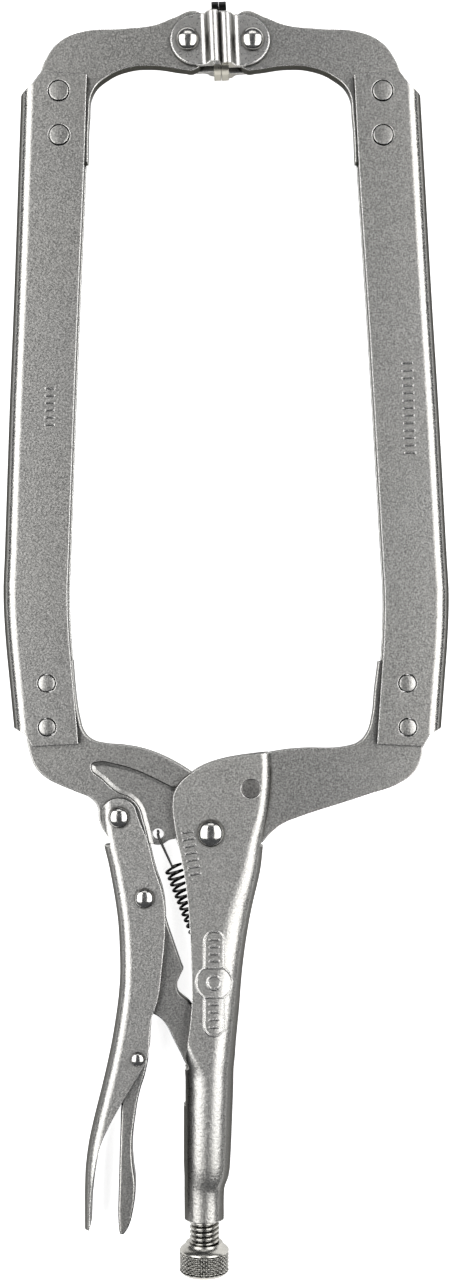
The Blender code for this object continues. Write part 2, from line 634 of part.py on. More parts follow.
def toggle_link():
    """The thick plate between the lever and the screw; its foot stands off the screw's tip."""
    boss = [(x, y, CORNER) for x, y in arc(*LINK_PIVOT, 6.6, 205, 20, 9)]
    outline = boss + [
        (-16.4, -30.0, SMOOTH), (-13.4, -39.6, SMOOTH), (-10.6, -47.6, CORNER), (-9.9, -49.2, CORNER),
        (-10.9, -51.2, SMOOTH), (-12.1, -54.4, SMOOTH), (-11.8, -57.4, SMOOTH), (-10.1, -59.2, SMOOTH),
        (-7.7, -61.2, SMOOTH), (-4.4, -68.0, SMOOTH), (-1.2, -79.0, SMOOTH), (-1.6, -83.6, SMOOTH),
        (-4.8, -85.3, SMOOTH), (-8.0, -84.2, SMOOTH), (-11.2, -78.8, SMOOTH), (-13.6, -74.0, SMOOTH),
        (-16.0, -69.2, SMOOTH), (-18.4, -66.6, SMOOTH), (-20.8, -65.2, CORNER), (-22.8, -58.0, SMOOTH),
        (-26.0, -44.0, SMOOTH), (-28.6, -33.0, SMOOTH),
    ]
    holes = [(*LINK_PIVOT, 2.4 + FIT_GAP)]
    return slab("toggle_link", outline, -LINK_HALF, LINK_HALF, holes)


RELEASE_HALF = 4.2
RELEASE_SHEET = 1.6


def release_lever():
    """The small lever inside the movable handle: a bent trough whose long tail is pressed to unlock."""
    outline = [
        (-27.0, -74.6, SMOOTH), (-23.6, -76.2, SMOOTH), (-22.6, -80.6, SMOOTH), (-23.4, -85.9, SMOOTH),
        (-25.5, -93.0, SMOOTH), (-27.3, -103.1, SMOOTH), (-28.2, -112.0, SMOOTH), (-27.9, -119.1, SMOOTH),
        (-27.1, -125.7, SMOOTH), (-27.2, -130.0, SMOOTH), (-27.9, -135.7, SMOOTH), (-29.6, -141.7, SMOOTH),
        (-31.3, -144.3, CORNER), (-32.7, -144.0, CORNER), (-33.1, -141.0, SMOOTH), (-32.9, -123.9, SMOOTH),
        (-32.4, -106.0, SMOOTH), (-31.9, -95.0, SMOOTH), (-30.2, -85.0, SMOOTH), (-29.4, -78.0, SMOOTH),
    ]
    body = slab("release_lever", outline, -RELEASE_HALF, RELEASE_HALF)
    trough = [(x - RELEASE_SHEET, y, kind) for x, y, kind in outline[2:12]]
    trough += [(-50.0, -142.4, CORNER), (-50.0, -60.0, CORNER), (-27.0, -60.0, CORNER)]
    inner = RELEASE_HALF - RELEASE_SHEET
    body = combine(body, slab("trough", trough, -inner, inner), "DIFFERENCE")
    return drill(body, [(*RELEASE_PIVOT, 1.6 + FIT_GAP)])


# ---------------------------------------------------------------- screw and knob
def along_y(thing, x):
    """Turns a piece made about Z so that its height runs along Y at x."""
    thing.data.transform(Matrix.Rotation(-math.pi / 2, 4, "X"))
    thing.data.transform(Matrix.Translation(millimetres(x, 0, 0)))
    return thing


def screw_tip():
    """The plain round-nosed end that the toggle link bears on."""
    top, bottom, radius = SCREW_TIP_TOP, SCREW_TIP_TOP - SCREW_TIP_LENGTH, 4.0
    profile = [(0, top), (2.2, top - 0.5), (3.5, top - 1.7), (radius, top - 3.2)]
    profile += [(radius, bottom), (0, bottom)]
    return along_y(turned("screw_tip", profile, ROUND_STEPS), SCREW_X)


def adjusting_screw():
    top = SCREW_TIP_TOP - SCREW_TIP_LENGTH - FIT_GAP
    bottom = KNOB_END + 2.4
    chamfer = 0.9
    profile = [(0, top), (SCREW_RADIUS - chamfer, top), (SCREW_RADIUS, top - chamfer),
               (SCREW_RADIUS, bottom), (0, bottom)]
    return along_y(turned("adjusting_screw", profile, 24), SCREW_X)


def adjusting_knob():
    """The knurled knob, pressed on the screw's end."""
    bore = SCREW_RADIUS + FIT_GAP
    floor = KNOB_END + 2.4 - FIT_GAP
    profile = [
        (0, floor), (bore, floor), (bore, KNOB_TOP), (6.6, KNOB_TOP), (6.9, KNOB_TOP - 1.2),
        (8.2, KNOB_TOP - 1.6), (KNOB_RADIUS, KNOB_TOP - 2.6), (KNOB_RADIUS, KNOB_END + 0.8),
        (KNOB_RADIUS - 0.8, KNOB_END), (0, KNOB_END),
    ]
    return along_y(turned("adjusting_knob", profile, 24), SCREW_X)


# ---------------------------------------------------------------- spring
def spring_route():
    """The wire from the hook in the jaw's hole, down the coil, to the hook round the handle's tab."""
    front = PLATE_HALF + FIT_GAP + SPRING_WIRE + 0.1
    top, bottom = Vector((-13.9, -12.2, 0)), Vector((-2.3, -42.3, 0))
    axis = (bottom - top).normalized()
    side = axis.cross(Vector((0, 0, 1)))
    hole = Vector((*SPRING_HOLE, 0))
    route = [hole + Vector((-0.3, 0.6, -front)), hole + Vector((0, 0, -front + 0.8)),
             hole + Vector((0, 0, front - 0.8)), hole + Vector((0.4, -1.2, front))]
    count = SPRING_TURNS * SPRING_TURN_STEPS
    for step in range(count + 1):
        share = step / count
        turn = 2 * math.pi * SPRING_TURNS * share + math.pi / 2
        swing = (side * math.cos(turn) + Vector((0, 0, 1)) * math.sin(turn)) * SPRING_COIL
        route.append(top.lerp(bottom, share) + swing)
    tab_bottom = -50.6 - SPRING_WIRE - 0.3
    route += [Vector((5.2, tab_bottom + 2.6, 2.0)), Vector((5.4, tab_bottom + 0.3, 1.6)),
              Vector((5.4, tab_bottom, 0.0)), Vector((5.4, tab_bottom + 0.6, -1.9))]
    return route


def tension_spring():
    curve = bpy.data.curves.new("tension_spring", "CURVE")
    curve.dimensions = "3D"
    curve.bevel_depth = SPRING_WIRE * MM
    curve.bevel_resolution = 1
    curve.use_fill_caps = True
    route = spring_route()
    wire = curve.splines.new("POLY")
    wire.points.add(len(route) - 1)
    for knot, place_ in zip(wire.points, route):
        knot.co = (*(place_ * MM), 1)
    made = bpy.data.objects.new("tension_spring", curve)
    bpy.context.scene.collection.objects.link(made)
    return baked(made)


# ---------------------------------------------------------------- assembly
def joint_empties(parts):
    """An empty on every joint's axis, each placed from the frame that carries the whole clamp."""
    root = frame_empty("clamp_frame", None, PIVOT_X, PIVOT_Y, PIVOT_Z)
    places = {
        "fixed": (0, 0, 0),
        "jaw": (0, 0, 0),
        "lever": (*LEVER_PIVOT, 0),
        "link": (*LINK_PIVOT, 0),
        "release": (*RELEASE_PIVOT, 0),
        "screw": (SCREW_X, SCREW_TIP_TOP, 0),
        "movable_pad": (side_x(LEFT, PAD_PIVOT_Y, PAD_PIVOT_HALF), PAD_PIVOT_Y, 0),
        "fixed_pad": (side_x(RIGHT, PAD_PIVOT_Y, PAD_PIVOT_HALF), PAD_PIVOT_Y, 0),
    }
    pivots = {}
    for name, spot in places.items():
        empty = frame_empty(f"{name}_axis", root, *spot)
        for holder in list(empty.users_collection):
            holder.objects.unlink(empty)
        parts.objects.link(empty)
        pivots[name] = {"empty": empty, "from_main": millimetres(*spot)}
    return pivots


def main():
    clear_scene()
    parts = new_collection("locking_c_clamp")
    pivots = joint_empties(parts)

    def add(thing, pivot, finish):
        place(thing, pivots[pivot], parts, finish)

    for side, pivot, pad in ((LEFT, "jaw", "movable_pad"), (RIGHT, "fixed", "fixed_pad")):
        add(arm(side), pivot, STEEL)
        add(jaw_tip(side), pivot, STEEL)
        add(swivel_pad(side), pad, BRIGHT)
        for name, x, y, radius in arm_rivet_places(side):
            add(pin_rivet(name, x, y, radius, ARM_HALF), pivot, STEEL)
        x = side_x(side, PAD_PIVOT_Y, PAD_PIVOT_HALF)
        ear = PLATE_HALF + FIT_GAP + PAD_SHEET
        add(dome_rivet(f"{pad}_rivet", x, PAD_PIVOT_Y, 2.6, 4.1, 2.6, ear), pivot, BRIGHT)

    add(movable_jaw_base(), "jaw", STEEL)
    add(fixed_jaw_base(), "fixed", STEEL)
    add(fixed_handle(), "fixed", STEEL)
    add(dome_rivet("main_pivot_rivet", 0, 0, 3.4, 4.8, 2.9, HEAD_HALF), "fixed", BRIGHT)
    add(pin_rivet("jaw_lock_rivet", *JAW_LOCK_RIVET, 3.2, HEAD_HALF, 0.0), "fixed", DARK)

    add(dome_rivet("lever_rivet", *LEVER_PIVOT, 2.6, 3.8, 2.4, LEVER_HALF), "jaw", BRIGHT)
    add(lever_handle(), "lever", STEEL)
    add(dome_rivet("link_rivet", *LINK_PIVOT, 2.4, 3.5, 2.2, LEVER_HALF + 0.55), "lever", BRIGHT)
    add(dome_rivet("release_rivet", *RELEASE_PIVOT, 1.6, 2.5, 1.6, LEVER_HALF + 1.5), "lever", BRIGHT)
    add(toggle_link(), "link", STEEL)
    add(release_lever(), "release", STEEL)

    add(screw_tip(), "screw", DARK)
    add(adjusting_screw(), "screw", DARK)
    add(adjusting_knob(), "screw", DARK)
    add(tension_spring(), "fixed", DARK)


main()
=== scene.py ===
"""The locking C clamp's looks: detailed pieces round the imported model, their finishes, a floor, lights and a
camera.

Millimetres in this file, metres in the scene.  Shapes are drawn from the main pivot's axis and the clamp's
middle plane, as the model is, and then carried to the pivot's place in the frame.
"""

import json
import math

import bmesh
import bpy
from mathutils import Matrix, Vector
from mathutils.bvhtree import BVHTree

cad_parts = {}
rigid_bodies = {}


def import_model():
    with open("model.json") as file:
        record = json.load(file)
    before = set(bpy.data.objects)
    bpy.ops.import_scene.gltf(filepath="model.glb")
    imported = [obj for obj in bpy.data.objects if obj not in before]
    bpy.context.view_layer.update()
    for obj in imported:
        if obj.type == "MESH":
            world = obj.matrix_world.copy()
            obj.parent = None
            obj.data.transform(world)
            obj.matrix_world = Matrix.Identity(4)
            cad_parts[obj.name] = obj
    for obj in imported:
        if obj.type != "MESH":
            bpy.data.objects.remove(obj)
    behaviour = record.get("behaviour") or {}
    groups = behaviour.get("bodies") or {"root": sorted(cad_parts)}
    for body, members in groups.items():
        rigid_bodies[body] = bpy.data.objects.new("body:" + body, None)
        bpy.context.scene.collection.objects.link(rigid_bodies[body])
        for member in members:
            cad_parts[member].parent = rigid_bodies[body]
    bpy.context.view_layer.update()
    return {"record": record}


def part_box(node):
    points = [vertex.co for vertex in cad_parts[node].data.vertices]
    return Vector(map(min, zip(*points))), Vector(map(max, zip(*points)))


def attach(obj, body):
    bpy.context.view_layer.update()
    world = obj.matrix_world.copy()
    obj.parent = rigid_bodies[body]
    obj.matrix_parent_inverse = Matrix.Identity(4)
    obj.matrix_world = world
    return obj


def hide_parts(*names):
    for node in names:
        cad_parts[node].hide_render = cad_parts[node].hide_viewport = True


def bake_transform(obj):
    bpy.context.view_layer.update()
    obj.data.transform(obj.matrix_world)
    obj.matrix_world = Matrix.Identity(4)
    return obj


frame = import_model()

# ---- the frame's places, in millimetres
MM = 0.001
RECORD = frame["record"]
BODIES = RECORD["behaviour"]["bodies"]
BODY_OF = {node: body for body, nodes in BODIES.items() for node in nodes}
JOINT_PLACE = {joint["name"]: joint.get("pos_m") for joint in RECORD["behaviour"]["joints"]}
PIVOT = Vector(JOINT_PLACE["jaw_swing"])


def from_pivot(joint):
    """(x, y) of a joint's axis from the main pivot, in millimetres."""
    away = (Vector(JOINT_PLACE[joint]) - PIVOT) / MM
    return round(away.x, 3), round(away.y, 3)


def node_reach(node, axis):
    """A node's lowest and highest coordinate along an axis from the main pivot, in millimetres."""
    low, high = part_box(node)
    return (low[axis] - PIVOT[axis]) / MM, (high[axis] - PIVOT[axis]) / MM


FIT_GAP = 0.3
PLATE_HALF = 3.0
INNER_HALF = PLATE_HALF + FIT_GAP  # half the room between two cheeks
LINK_HALF = 2.7
ARM_SHEET = 2.9
ARM_HALF = INNER_HALF + ARM_SHEET
ARM_BEND = 5.2
HANDLE_SHEET = 2.6
HEAD_HALF = INNER_HALF + HANDLE_SHEET
LEVER_SHEET = 2.4
LEVER_HALF = INNER_HALF + LEVER_SHEET
TUBE_RADIUS = 8.75
NECK_RADIUS = 7.15
RECESS_DEPTH = 1.3
RECESS_RUN = 1.9  # how far the recess's wall runs out
RECESS_SLOPE = 0.92  # how far the wall rises over that run
EDGE = 0.5  # rounding of sheared edges

LEVER_PIVOT = from_pivot("lever_swing")
LINK_PIVOT = from_pivot("link_swing")
RELEASE_PIVOT = from_pivot("release_press")
PAD_PIVOT_Y = from_pivot("fixed_pad_swivel")[1]
JAW_LOCK_RIVET = (14.4, 15.9)
SPRING_HOLE = (-19.0, -0.7)
SPRING_HOLE_RADIUS = 2.0

SCREW_X = from_pivot("knob_turn")[0]
SCREW_RADIUS = 5.3
THREAD_PITCH = 25.4 / 14
THREAD_DEPTH = 1.0
END_TAPER = 1.2  # over which the screw's upper end narrows
END_NARROWING = 0.9
SCREW_STEPS = 48
SCREW_TIP_TOP = node_reach("screw_tip", 1)[1]
SCREW_TIP_LENGTH = 6.5
NECK_END = -139.3
KNOB_RADIUS = 8.9
KNOB_END, KNOB_TOP = node_reach("adjusting_knob", 1)

PAD_PIVOT_HALF = 11.6
PAD_GAP = 0.14
PAD_REACH = PAD_PIVOT_HALF - PAD_GAP / 2
PAD_TILT = math.radians(2.4)
PAD_SHEET = 2.2
PAD_EAR_HEIGHT = 18.3
EAR_MIDDLE, EAR_RADIUS = 2.7, 8.9  # of the ears' round edge, from the pad's rivet
PAD_FACE_HEIGHT = 26.3
PAD_FACE_RISE = 1.0  # of the face's middle over the rivet
PAD_HALF_DEPTH = 9.4
PAD_BACK = -8.0  # past the ears' round edge, before it is trimmed
PAD_FILLET = 2.4
PAD_FACE_LIFT = 0.45  # sets both faces level although the pads stand tilted

SPRING_WIRE = 0.5
SPRING_COIL = 2.95
SPRING_TURNS = 14
SPRING_TURN_STEPS = 20

LEFT, RIGHT = -1, 1
CORNER, SMOOTH = "VECTOR", "AUTO"  # kinds of outline points; a point that says none is smooth
ROUND_STEPS = 64
CURVE_STEPS = 10  # between two points of an outline
DRILL_LENGTH = 60
BEYOND = 20  # a height past every piece's faces
WELD = 0.002
JAW_MIDDLE = 6.4
JAW_LEAN = 0.0108


def jaw_middle(y):
    """X of the line midway between the two arms, which leans slightly over the pivot."""
    return JAW_MIDDLE - JAW_LEAN * y


def side_x(side, y, half):
    return jaw_middle(y) + side * half


# ---- modelling helpers
def millimetres(*values):
    return Vector([value * MM for value in values])


def linked(data):
    made = bpy.data.objects.new(data.name, data)
    bpy.context.scene.collection.objects.link(made)
    return made


def finished(work):
    """The object of what a bmesh holds."""
    mesh = bpy.data.meshes.new("piece")
    work.to_mesh(mesh)
    work.free()
    return linked(mesh)


def discard(thing):
    bpy.data.objects.remove(thing, do_unlink=True)


def baked(thing):
    """Replaces an object by a plain welded mesh of what its curve or modifiers make."""
    bpy.context.view_layer.update()
    graph = bpy.context.evaluated_depsgraph_get()
    mesh = bpy.data.meshes.new_from_object(thing.evaluated_get(graph))
    mesh.transform(thing.matrix_world)
    discard(thing)
    work = bmesh.new()
    work.from_mesh(mesh)
    bmesh.ops.remove_doubles(work, verts=work.verts, dist=WELD * MM)
    bmesh.ops.dissolve_degenerate(work, edges=work.edges, dist=WELD * MM)
    work.to_mesh(mesh)
    work.free()
    return linked(mesh)


def moved(thing, x, y, z=0.0):
    """Shifts a mesh by millimetres."""
    thing.data.transform(Matrix.Translation(millimetres(x, y, z)))
    return thing


def rotated(thing, angle, axis):
    thing.data.transform(Matrix.Rotation(angle, 4, axis))
    return thing


def combine(thing, tool, operation):
    """Applies an exact Boolean and removes the tool."""
    step = thing.modifiers.new(operation.lower(), "BOOLEAN")
    step.operation = operation
    step.solver = "EXACT"
    step.object = tool
    result = baked(thing)
    discard(tool)
    return result


def cut(thing, tool):
    return combine(thing, tool, "DIFFERENCE")


def knots_area(points):
    """Twice the signed area inside a loop of points."""
    return sum(a[0] * b[1] - b[0] * a[1] for a, b in zip(points, points[1:] + points[:1]))


def add_loop(curve, knots, clockwise):
    if (knots_area(knots) < 0) != clockwise:
        knots = knots[::-1]
    edge = curve.splines.new("BEZIER")
    edge.bezier_points.add(len(knots) - 1)
    edge.use_cyclic_u = True
    for knot, (x, y, *kind) in zip(edge.bezier_points, knots):
        knot.co = millimetres(x, y, 0)
        knot.handle_left_type = kind[0] if kind else SMOOTH
        knot.handle_right_type = knot.handle_left_type


def slab(outline, low, high, holes=(), edge=0.0, edge_steps=1):
    """A plate between two heights: a closed outline of (x, y) or (x, y, kind) points, with round holes
    (x, y, radius) and rounded edges."""
    curve = bpy.data.curves.new("piece", "CURVE")
    curve.dimensions = "2D"
    curve.fill_mode = "BOTH"
    curve.resolution_u = CURVE_STEPS
    curve.extrude = ((high - low) / 2 - edge) * MM
    curve.bevel_depth = edge * MM
    curve.bevel_resolution = edge_steps
    curve.offset = -edge * MM
    add_loop(curve, list(outline), False)
    for x, y, radius in holes:
        turns = [math.pi / 4 * step for step in range(8)]
        ring = [(x + radius * math.cos(turn), y + radius * math.sin(turn)) for turn in turns]
        add_loop(curve, ring, True)
    made = linked(curve)
    made.location.z = (high + low) / 2 * MM
    return baked(made)


def trimmed(thing, outline):
    """Keeps what lies inside an outline."""
    return combine(thing, slab(outline, -BEYOND, BEYOND), "INTERSECT")


def drill(thing, holes):
    """Cuts round holes (x, y, radius) along Z."""
    for x, y, radius in holes:
        work = bmesh.new()
        bmesh.ops.create_cone(work, cap_ends=True, segments=ROUND_STEPS, radius1=radius * MM,
                              radius2=radius * MM, depth=DRILL_LENGTH * MM)
        thing = cut(thing, moved(finished(work), x, y))
    return thing


def box(low, high):
    work = bmesh.new()
    size = [b - a for a, b in zip(low, high)]
    middle = [(a + b) / 2 for a, b in zip(low, high)]
    place = Matrix.Translation(millimetres(*middle)) @ Matrix.Diagonal((*millimetres(*size), 1))
    bmesh.ops.create_cube(work, size=1, matrix=place)
    return finished(work)


def turned(profile):
    """A solid of revolution about Z from (radius, height) points that run from the top to the bottom."""
    mesh = bpy.data.meshes.new("piece")
    points = [millimetres(radius, 0, height) for radius, height in profile]
    edges = [(i, i + 1) for i in range(len(points) - 1)]
    mesh.from_pydata(points, edges, [])
    made = linked(mesh)
    spin = made.modifiers.new("spin", "SCREW")
    spin.axis = "Z"
    spin.angle = 2 * math.pi
    spin.steps = ROUND_STEPS
    spin.render_steps = ROUND_STEPS
    spin.use_merge_vertices = True
    spin.merge_threshold = 0.00001
    return baked(made)


def section(y, left, right, half, left_round, right_round, left_steps, right_steps, right_run=0.0):
    """One station of a channel: a rounded rectangle in the XZ plane.  A corner of no steps is sharp, and
    right_run stretches the right corners' curves along X."""
    corners = (
        (right, half, 1, 1, right_round, right_steps, 0),
        (left, half, -1, 1, left_round, left_steps, 1),
        (left, half, -1, -1, left_round, left_steps, 2),
        (right, half, 1, -1, right_round, right_steps, 3),
    )
    points = []
    most = min(half, (right - left) / 2) - 0.05
    for x, z, x_way, z_way, radius, steps, quarter in corners:
        radius = min(radius, most)
        if steps == 0:
            points.append(millimetres(x, y, z_way * z))
            continue
        for step in range(steps + 1):
            turn = math.pi / 2 * (quarter + step / steps)
            run = max(radius, right_run) if x_way > 0 else radius
            across = x - x_way * run + run * math.cos(turn)
            points.append(millimetres(across, y, z_way * (z - radius) + radius * math.sin(turn)))
    return points


def loft(sections):
    """A closed solid through sections that have the same number of points."""
    work = bmesh.new()
    rings = [[work.verts.new(point) for point in ring] for ring in sections]
    count = len(rings[0])
    for low, high in zip(rings, rings[1:]):
        for i in range(count):
            j = (i + 1) % count
            work.faces.new((low[i], low[j], high[j], high[i]))
    work.faces.new(rings[0])
    work.faces.new(rings[-1])
    bmesh.ops.recalc_face_normals(work, faces=work.faces)
    bmesh.ops.triangulate(work, faces=work.faces)
    return finished(work)


def smooth_rows(rows, steps):
    """Adds rows between an outline's stations, on smooth curves through each column."""
    made = []
    for i in range(len(rows) - 1):
        before, start, end = rows[max(i - 1, 0)], rows[i], rows[i + 1]
        after = rows[min(i + 2, len(rows) - 1)]
        for step in range(steps):
            share = step / steps
            made.append(tuple(
                hermite(before[0], start[0], end[0], after[0], a, b, c, d, share) if k else
                start[0] + (end[0] - start[0]) * share
                for k, (a, b, c, d) in enumerate(zip(before, start, end, after))))
    return made + [rows[-1]]


def hermite(t0, t1, t2, t3, a, b, c, d, share):
    """Value between b and c of the smooth curve through a, b, c, d at unequal stations."""
    span = t2 - t1
    slope_b = (c - a) / (t2 - t0) * span
    slope_c = (d - b) / (t3 - t1) * span
    s2, s3 = share * share, share ** 3
    return ((2 * s3 - 3 * s2 + 1) * b + (s3 - 2 * s2 + share) * slope_b
            + (3 * s2 - 2 * s3) * c + (s3 - s2) * slope_c)


def wires(routes, radius, smoothness):
    """Round wires along routes of places in metres."""
    curve = bpy.data.curves.new("piece", "CURVE")
    curve.dimensions = "3D"
    curve.bevel_depth = radius * MM
    curve.bevel_resolution = smoothness
    curve.use_fill_caps = True
    for route in routes:
        wire = curve.splines.new("POLY")
        wire.points.add(len(route) - 1)
        for knot, place in zip(wire.points, route):
            knot.co = (*place, 1)
    return baked(linked(curve))


# ---- rivets
PAD_SHANK = 2.6
MAIN_SHANK = 3.4
JAW_LOCK_RADIUS = 3.2
LEVER_SHANK = 2.6
LINK_SHANK = 2.4
RELEASE_SHANK = 1.6
PIN_RISE = 0.45  # how far a pin rivet stands out of the sheet
PLUG_RISE = 0.06
PIN_ROUNDING = ((0.45, 0.0), (0.15, 0.12), (0.0, 0.4))  # in from the rim and down from the top
DOME_RIM = 0.4  # height of the straight rim under a dome
DOME_STEPS = 12


def pin_rivet(x, y, radius, half, rise=PIN_RISE):
    """A rivet that fills its hole and stands just proud of both sides."""
    top = half + rise
    upper = [(0, top)] + [(radius - inward, top - down) for inward, down in PIN_ROUNDING]
    lower = [(reach, -height) for reach, height in reversed(upper)]
    return moved(turned(upper + lower), x, y)


def dome_rivet(x, y, shank, head, height, half):
    """A rivet with a round head on both sides."""
    skirt = half + FIT_GAP
    rise = height - DOME_RIM
    turns = [math.pi / 2 * step / DOME_STEPS for step in range(1, DOME_STEPS + 1)]
    curve = [(head * math.sin(turn), skirt + DOME_RIM + rise * math.cos(turn)) for turn in turns]
    upper = [(0, skirt + height)] + curve + [(head, skirt), (shank, skirt)]
    lower = [(reach, -height) for reach, height in reversed(upper)]
    return moved(turned(upper + lower), x, y)


TIP_RIVET = (3.55, (265.4, 249.6), 57.9)  # radius, heights and half spacing of the rivets at the tips
BASE_RIVET = (3.05, (53.6, 37.9), 64.5)


def arm_rivet_places(side):
    """(name, x, y, radius) of an arm's four rivets."""
    word = "movable" if side == LEFT else "fixed"
    places = []
    for group, (radius, heights, half) in (("tip", TIP_RIVET), ("base", BASE_RIVET)):
        for number, y in enumerate(heights, 1):
            places.append((f"{word}_{group}_rivet_{number}", side_x(side, y, half), y, radius))
    return places


def arm_rivet_holes(side, group):
    return [(x, y, radius + FIT_GAP) for name, x, y, radius in arm_rivet_places(side) if group in name]


# ---- arms and tips, a mirrored pair
ARM_EDGES = (  # y, half spacing of the outer edges, of the inner edges
    (276.0, 71.4, 47.6), (264.6, 71.9, 48.1), (240.4, 73.0, 49.1), (194.4, 75.1, 51.6),
    (153.0, 77.2, 53.7), (99.0, 79.6, 56.2), (85.3, 80.2, 56.8), (70.0, 79.6, 56.4), (52.0, 78.1, 55.0),
    (38.0, 76.9, 53.9), (28.0, 76.0, 53.2),
)


def arm_sections(side, inset, mouth):
    """Sections of an arm, inset all round by the sheet, with the inner edge moved by mouth."""
    sections = []
    bend = max(ARM_BEND - inset, 0.8)
    steps = 5 if inset else 10
    for y, outer, inner in smooth_rows(ARM_EDGES, 5):
        far = side_x(side, y, outer - inset)
        near = side_x(side, y, inner - mouth)
        depth = ARM_HALF - inset
        if side == LEFT:
            sections.append(section(y, far, near, depth, bend, 0, steps, 0))
        else:
            sections.append(section(y, near, far, depth, 0, bend, 0, steps))
    return sections


def arm(side):
    """A channel of bent sheet: a back along the outer edge and two cheeks, with its ends cut to shape."""
    body = loft(arm_sections(side, 0, 0))
    ends = [
        (272.2, 64.1), (271.0, 40.0), (32.6, 40.0), (31.0, 69.9), (35.2, 72.3), (38.3, 78.0),
        (39.0, 90.0), (264.0, 90.0), (264.6, 71.8), (268.0, 67.4),
    ]
    body = trimmed(body, [(side_x(side, y, half), y, CORNER) for y, half in ends])
    body = cut(body, loft(arm_sections(side, ARM_SHEET, 4.0)))
    return drill(body, arm_rivet_holes(side, "rivet"))


def jaw_tip(side):
    """The plate from the arm's top to the swivel pad."""
    points = [
        (293.6, 6.4), (295.2, 9.3), (292.9, 16.2), (290.1, 23.6), (288.8, 35.0), (287.6, 50.0),
        (283.9, 58.0), (277.6, 62.9), (271.6, 65.2, CORNER), (266.0, 66.0, CORNER),
        (240.8, 67.0, CORNER), (240.8, 48.0, CORNER), (256.8, 47.3), (266.4, 45.8), (271.5, 40.6),
        (274.7, 33.0), (275.4, 24.0), (274.0, 13.0), (273.8, 9.6), (276.6, 6.4),
    ]
    outline = [(side_x(side, y, half), y, *kind) for y, half, *kind in points]
    pad_hole = (side_x(side, PAD_PIVOT_Y, PAD_PIVOT_HALF), PAD_PIVOT_Y, PAD_SHANK + FIT_GAP)
    holes = arm_rivet_holes(side, "tip") + [pad_hole]
    return slab(outline, -PLATE_HALF, PLATE_HALF, holes, edge=EDGE)


# ---- swivel pads
def arc(x, z, radius, start, end, steps):
    """Points on an arc, in degrees."""
    turns = [math.radians(start + (end - start) * i / steps) for i in range(steps + 1)]
    return [(x + radius * math.cos(turn), z + radius * math.sin(turn)) for turn in turns]


def pad_section():
    """Half of the pad's folded sheet, as (reach from its rivet, depth) points of the side with +Z."""
    ear_low = INNER_HALF
    ear_high = ear_low + PAD_SHEET
    hem_back = PAD_REACH - 2 * PAD_SHEET
    hem_z = PAD_HALF_DEPTH - PAD_SHEET
    points = [(PAD_BACK, ear_high)]
    points += arc(hem_back - PAD_FILLET, ear_high + PAD_FILLET, PAD_FILLET, -90, -20, 10)
    points += [(hem_back, hem_z + 0.2)]
    points += arc(hem_back + PAD_SHEET, hem_z, PAD_SHEET, 165, 0, 18)
    return points, [(PAD_REACH - PAD_SHEET, ear_low), (PAD_BACK, ear_low)]


def swivel_pad(side):
    """A pad of folded sheet: a flat face, hemmed edges and two round ears over the jaw tip."""
    ear = PAD_EAR_HEIGHT / 2
    outer, inner = pad_section()
    mirror = [(x, -z) for x, z in reversed(outer)]
    ring = outer + mirror + [(x, -z) for x, z in reversed(inner)] + inner
    folded = slab([(x, z, CORNER) for x, z in ring], -ear, ear)
    rotated(folded, math.pi / 2, "X")
    bow = arc(EAR_MIDDLE, 0, EAR_RADIUS, 90, 270, 48)
    beyond = [(EAR_MIDDLE, -ear - 1), (20, -ear - 1), (20, ear + 1), (EAR_MIDDLE, ear + 1)]
    folded = trimmed(folded, [(x, y, CORNER) for x, y in bow + beyond])
    face = moved(pad_face(), 0, -side * PAD_FACE_RISE - PAD_FACE_LIFT)
    pad = combine(folded, face, "UNION")
    pad = drill(pad, [(0, 0, PAD_SHANK + FIT_GAP)])
    if side == RIGHT:
        rotated(pad, math.pi, "Z")
    rotated(pad, PAD_TILT, "Z")
    return moved(pad, side_x(side, PAD_PIVOT_Y, PAD_PIVOT_HALF), PAD_PIVOT_Y)


def pad_face():
    """The gripping face, taller than the ears and with round ends."""
    tall = PAD_FACE_HEIGHT / 2
    wide = PAD_HALF_DEPTH - 1.6
    corner = 5.0
    points = []
    for start, y_way, z_way in ((0, 1, 1), (90, -1, 1), (180, -1, -1), (270, 1, -1)):
        points += arc(y_way * (tall - corner), z_way * (wide - corner), corner, start, start + 90, 12)
    face = slab([(y, z, CORNER) for y, z in points], 0.02, PAD_SHEET + 0.4)
    face.data.transform(Matrix(((0, 0, 1, 0), (1, 0, 0, 0), (0, 1, 0, 0), (0, 0, 0, 1))))
    return moved(face, PAD_REACH - PAD_SHEET - 0.4, 0)


# ---- jaw bases
JAW_BOSS = 13.0


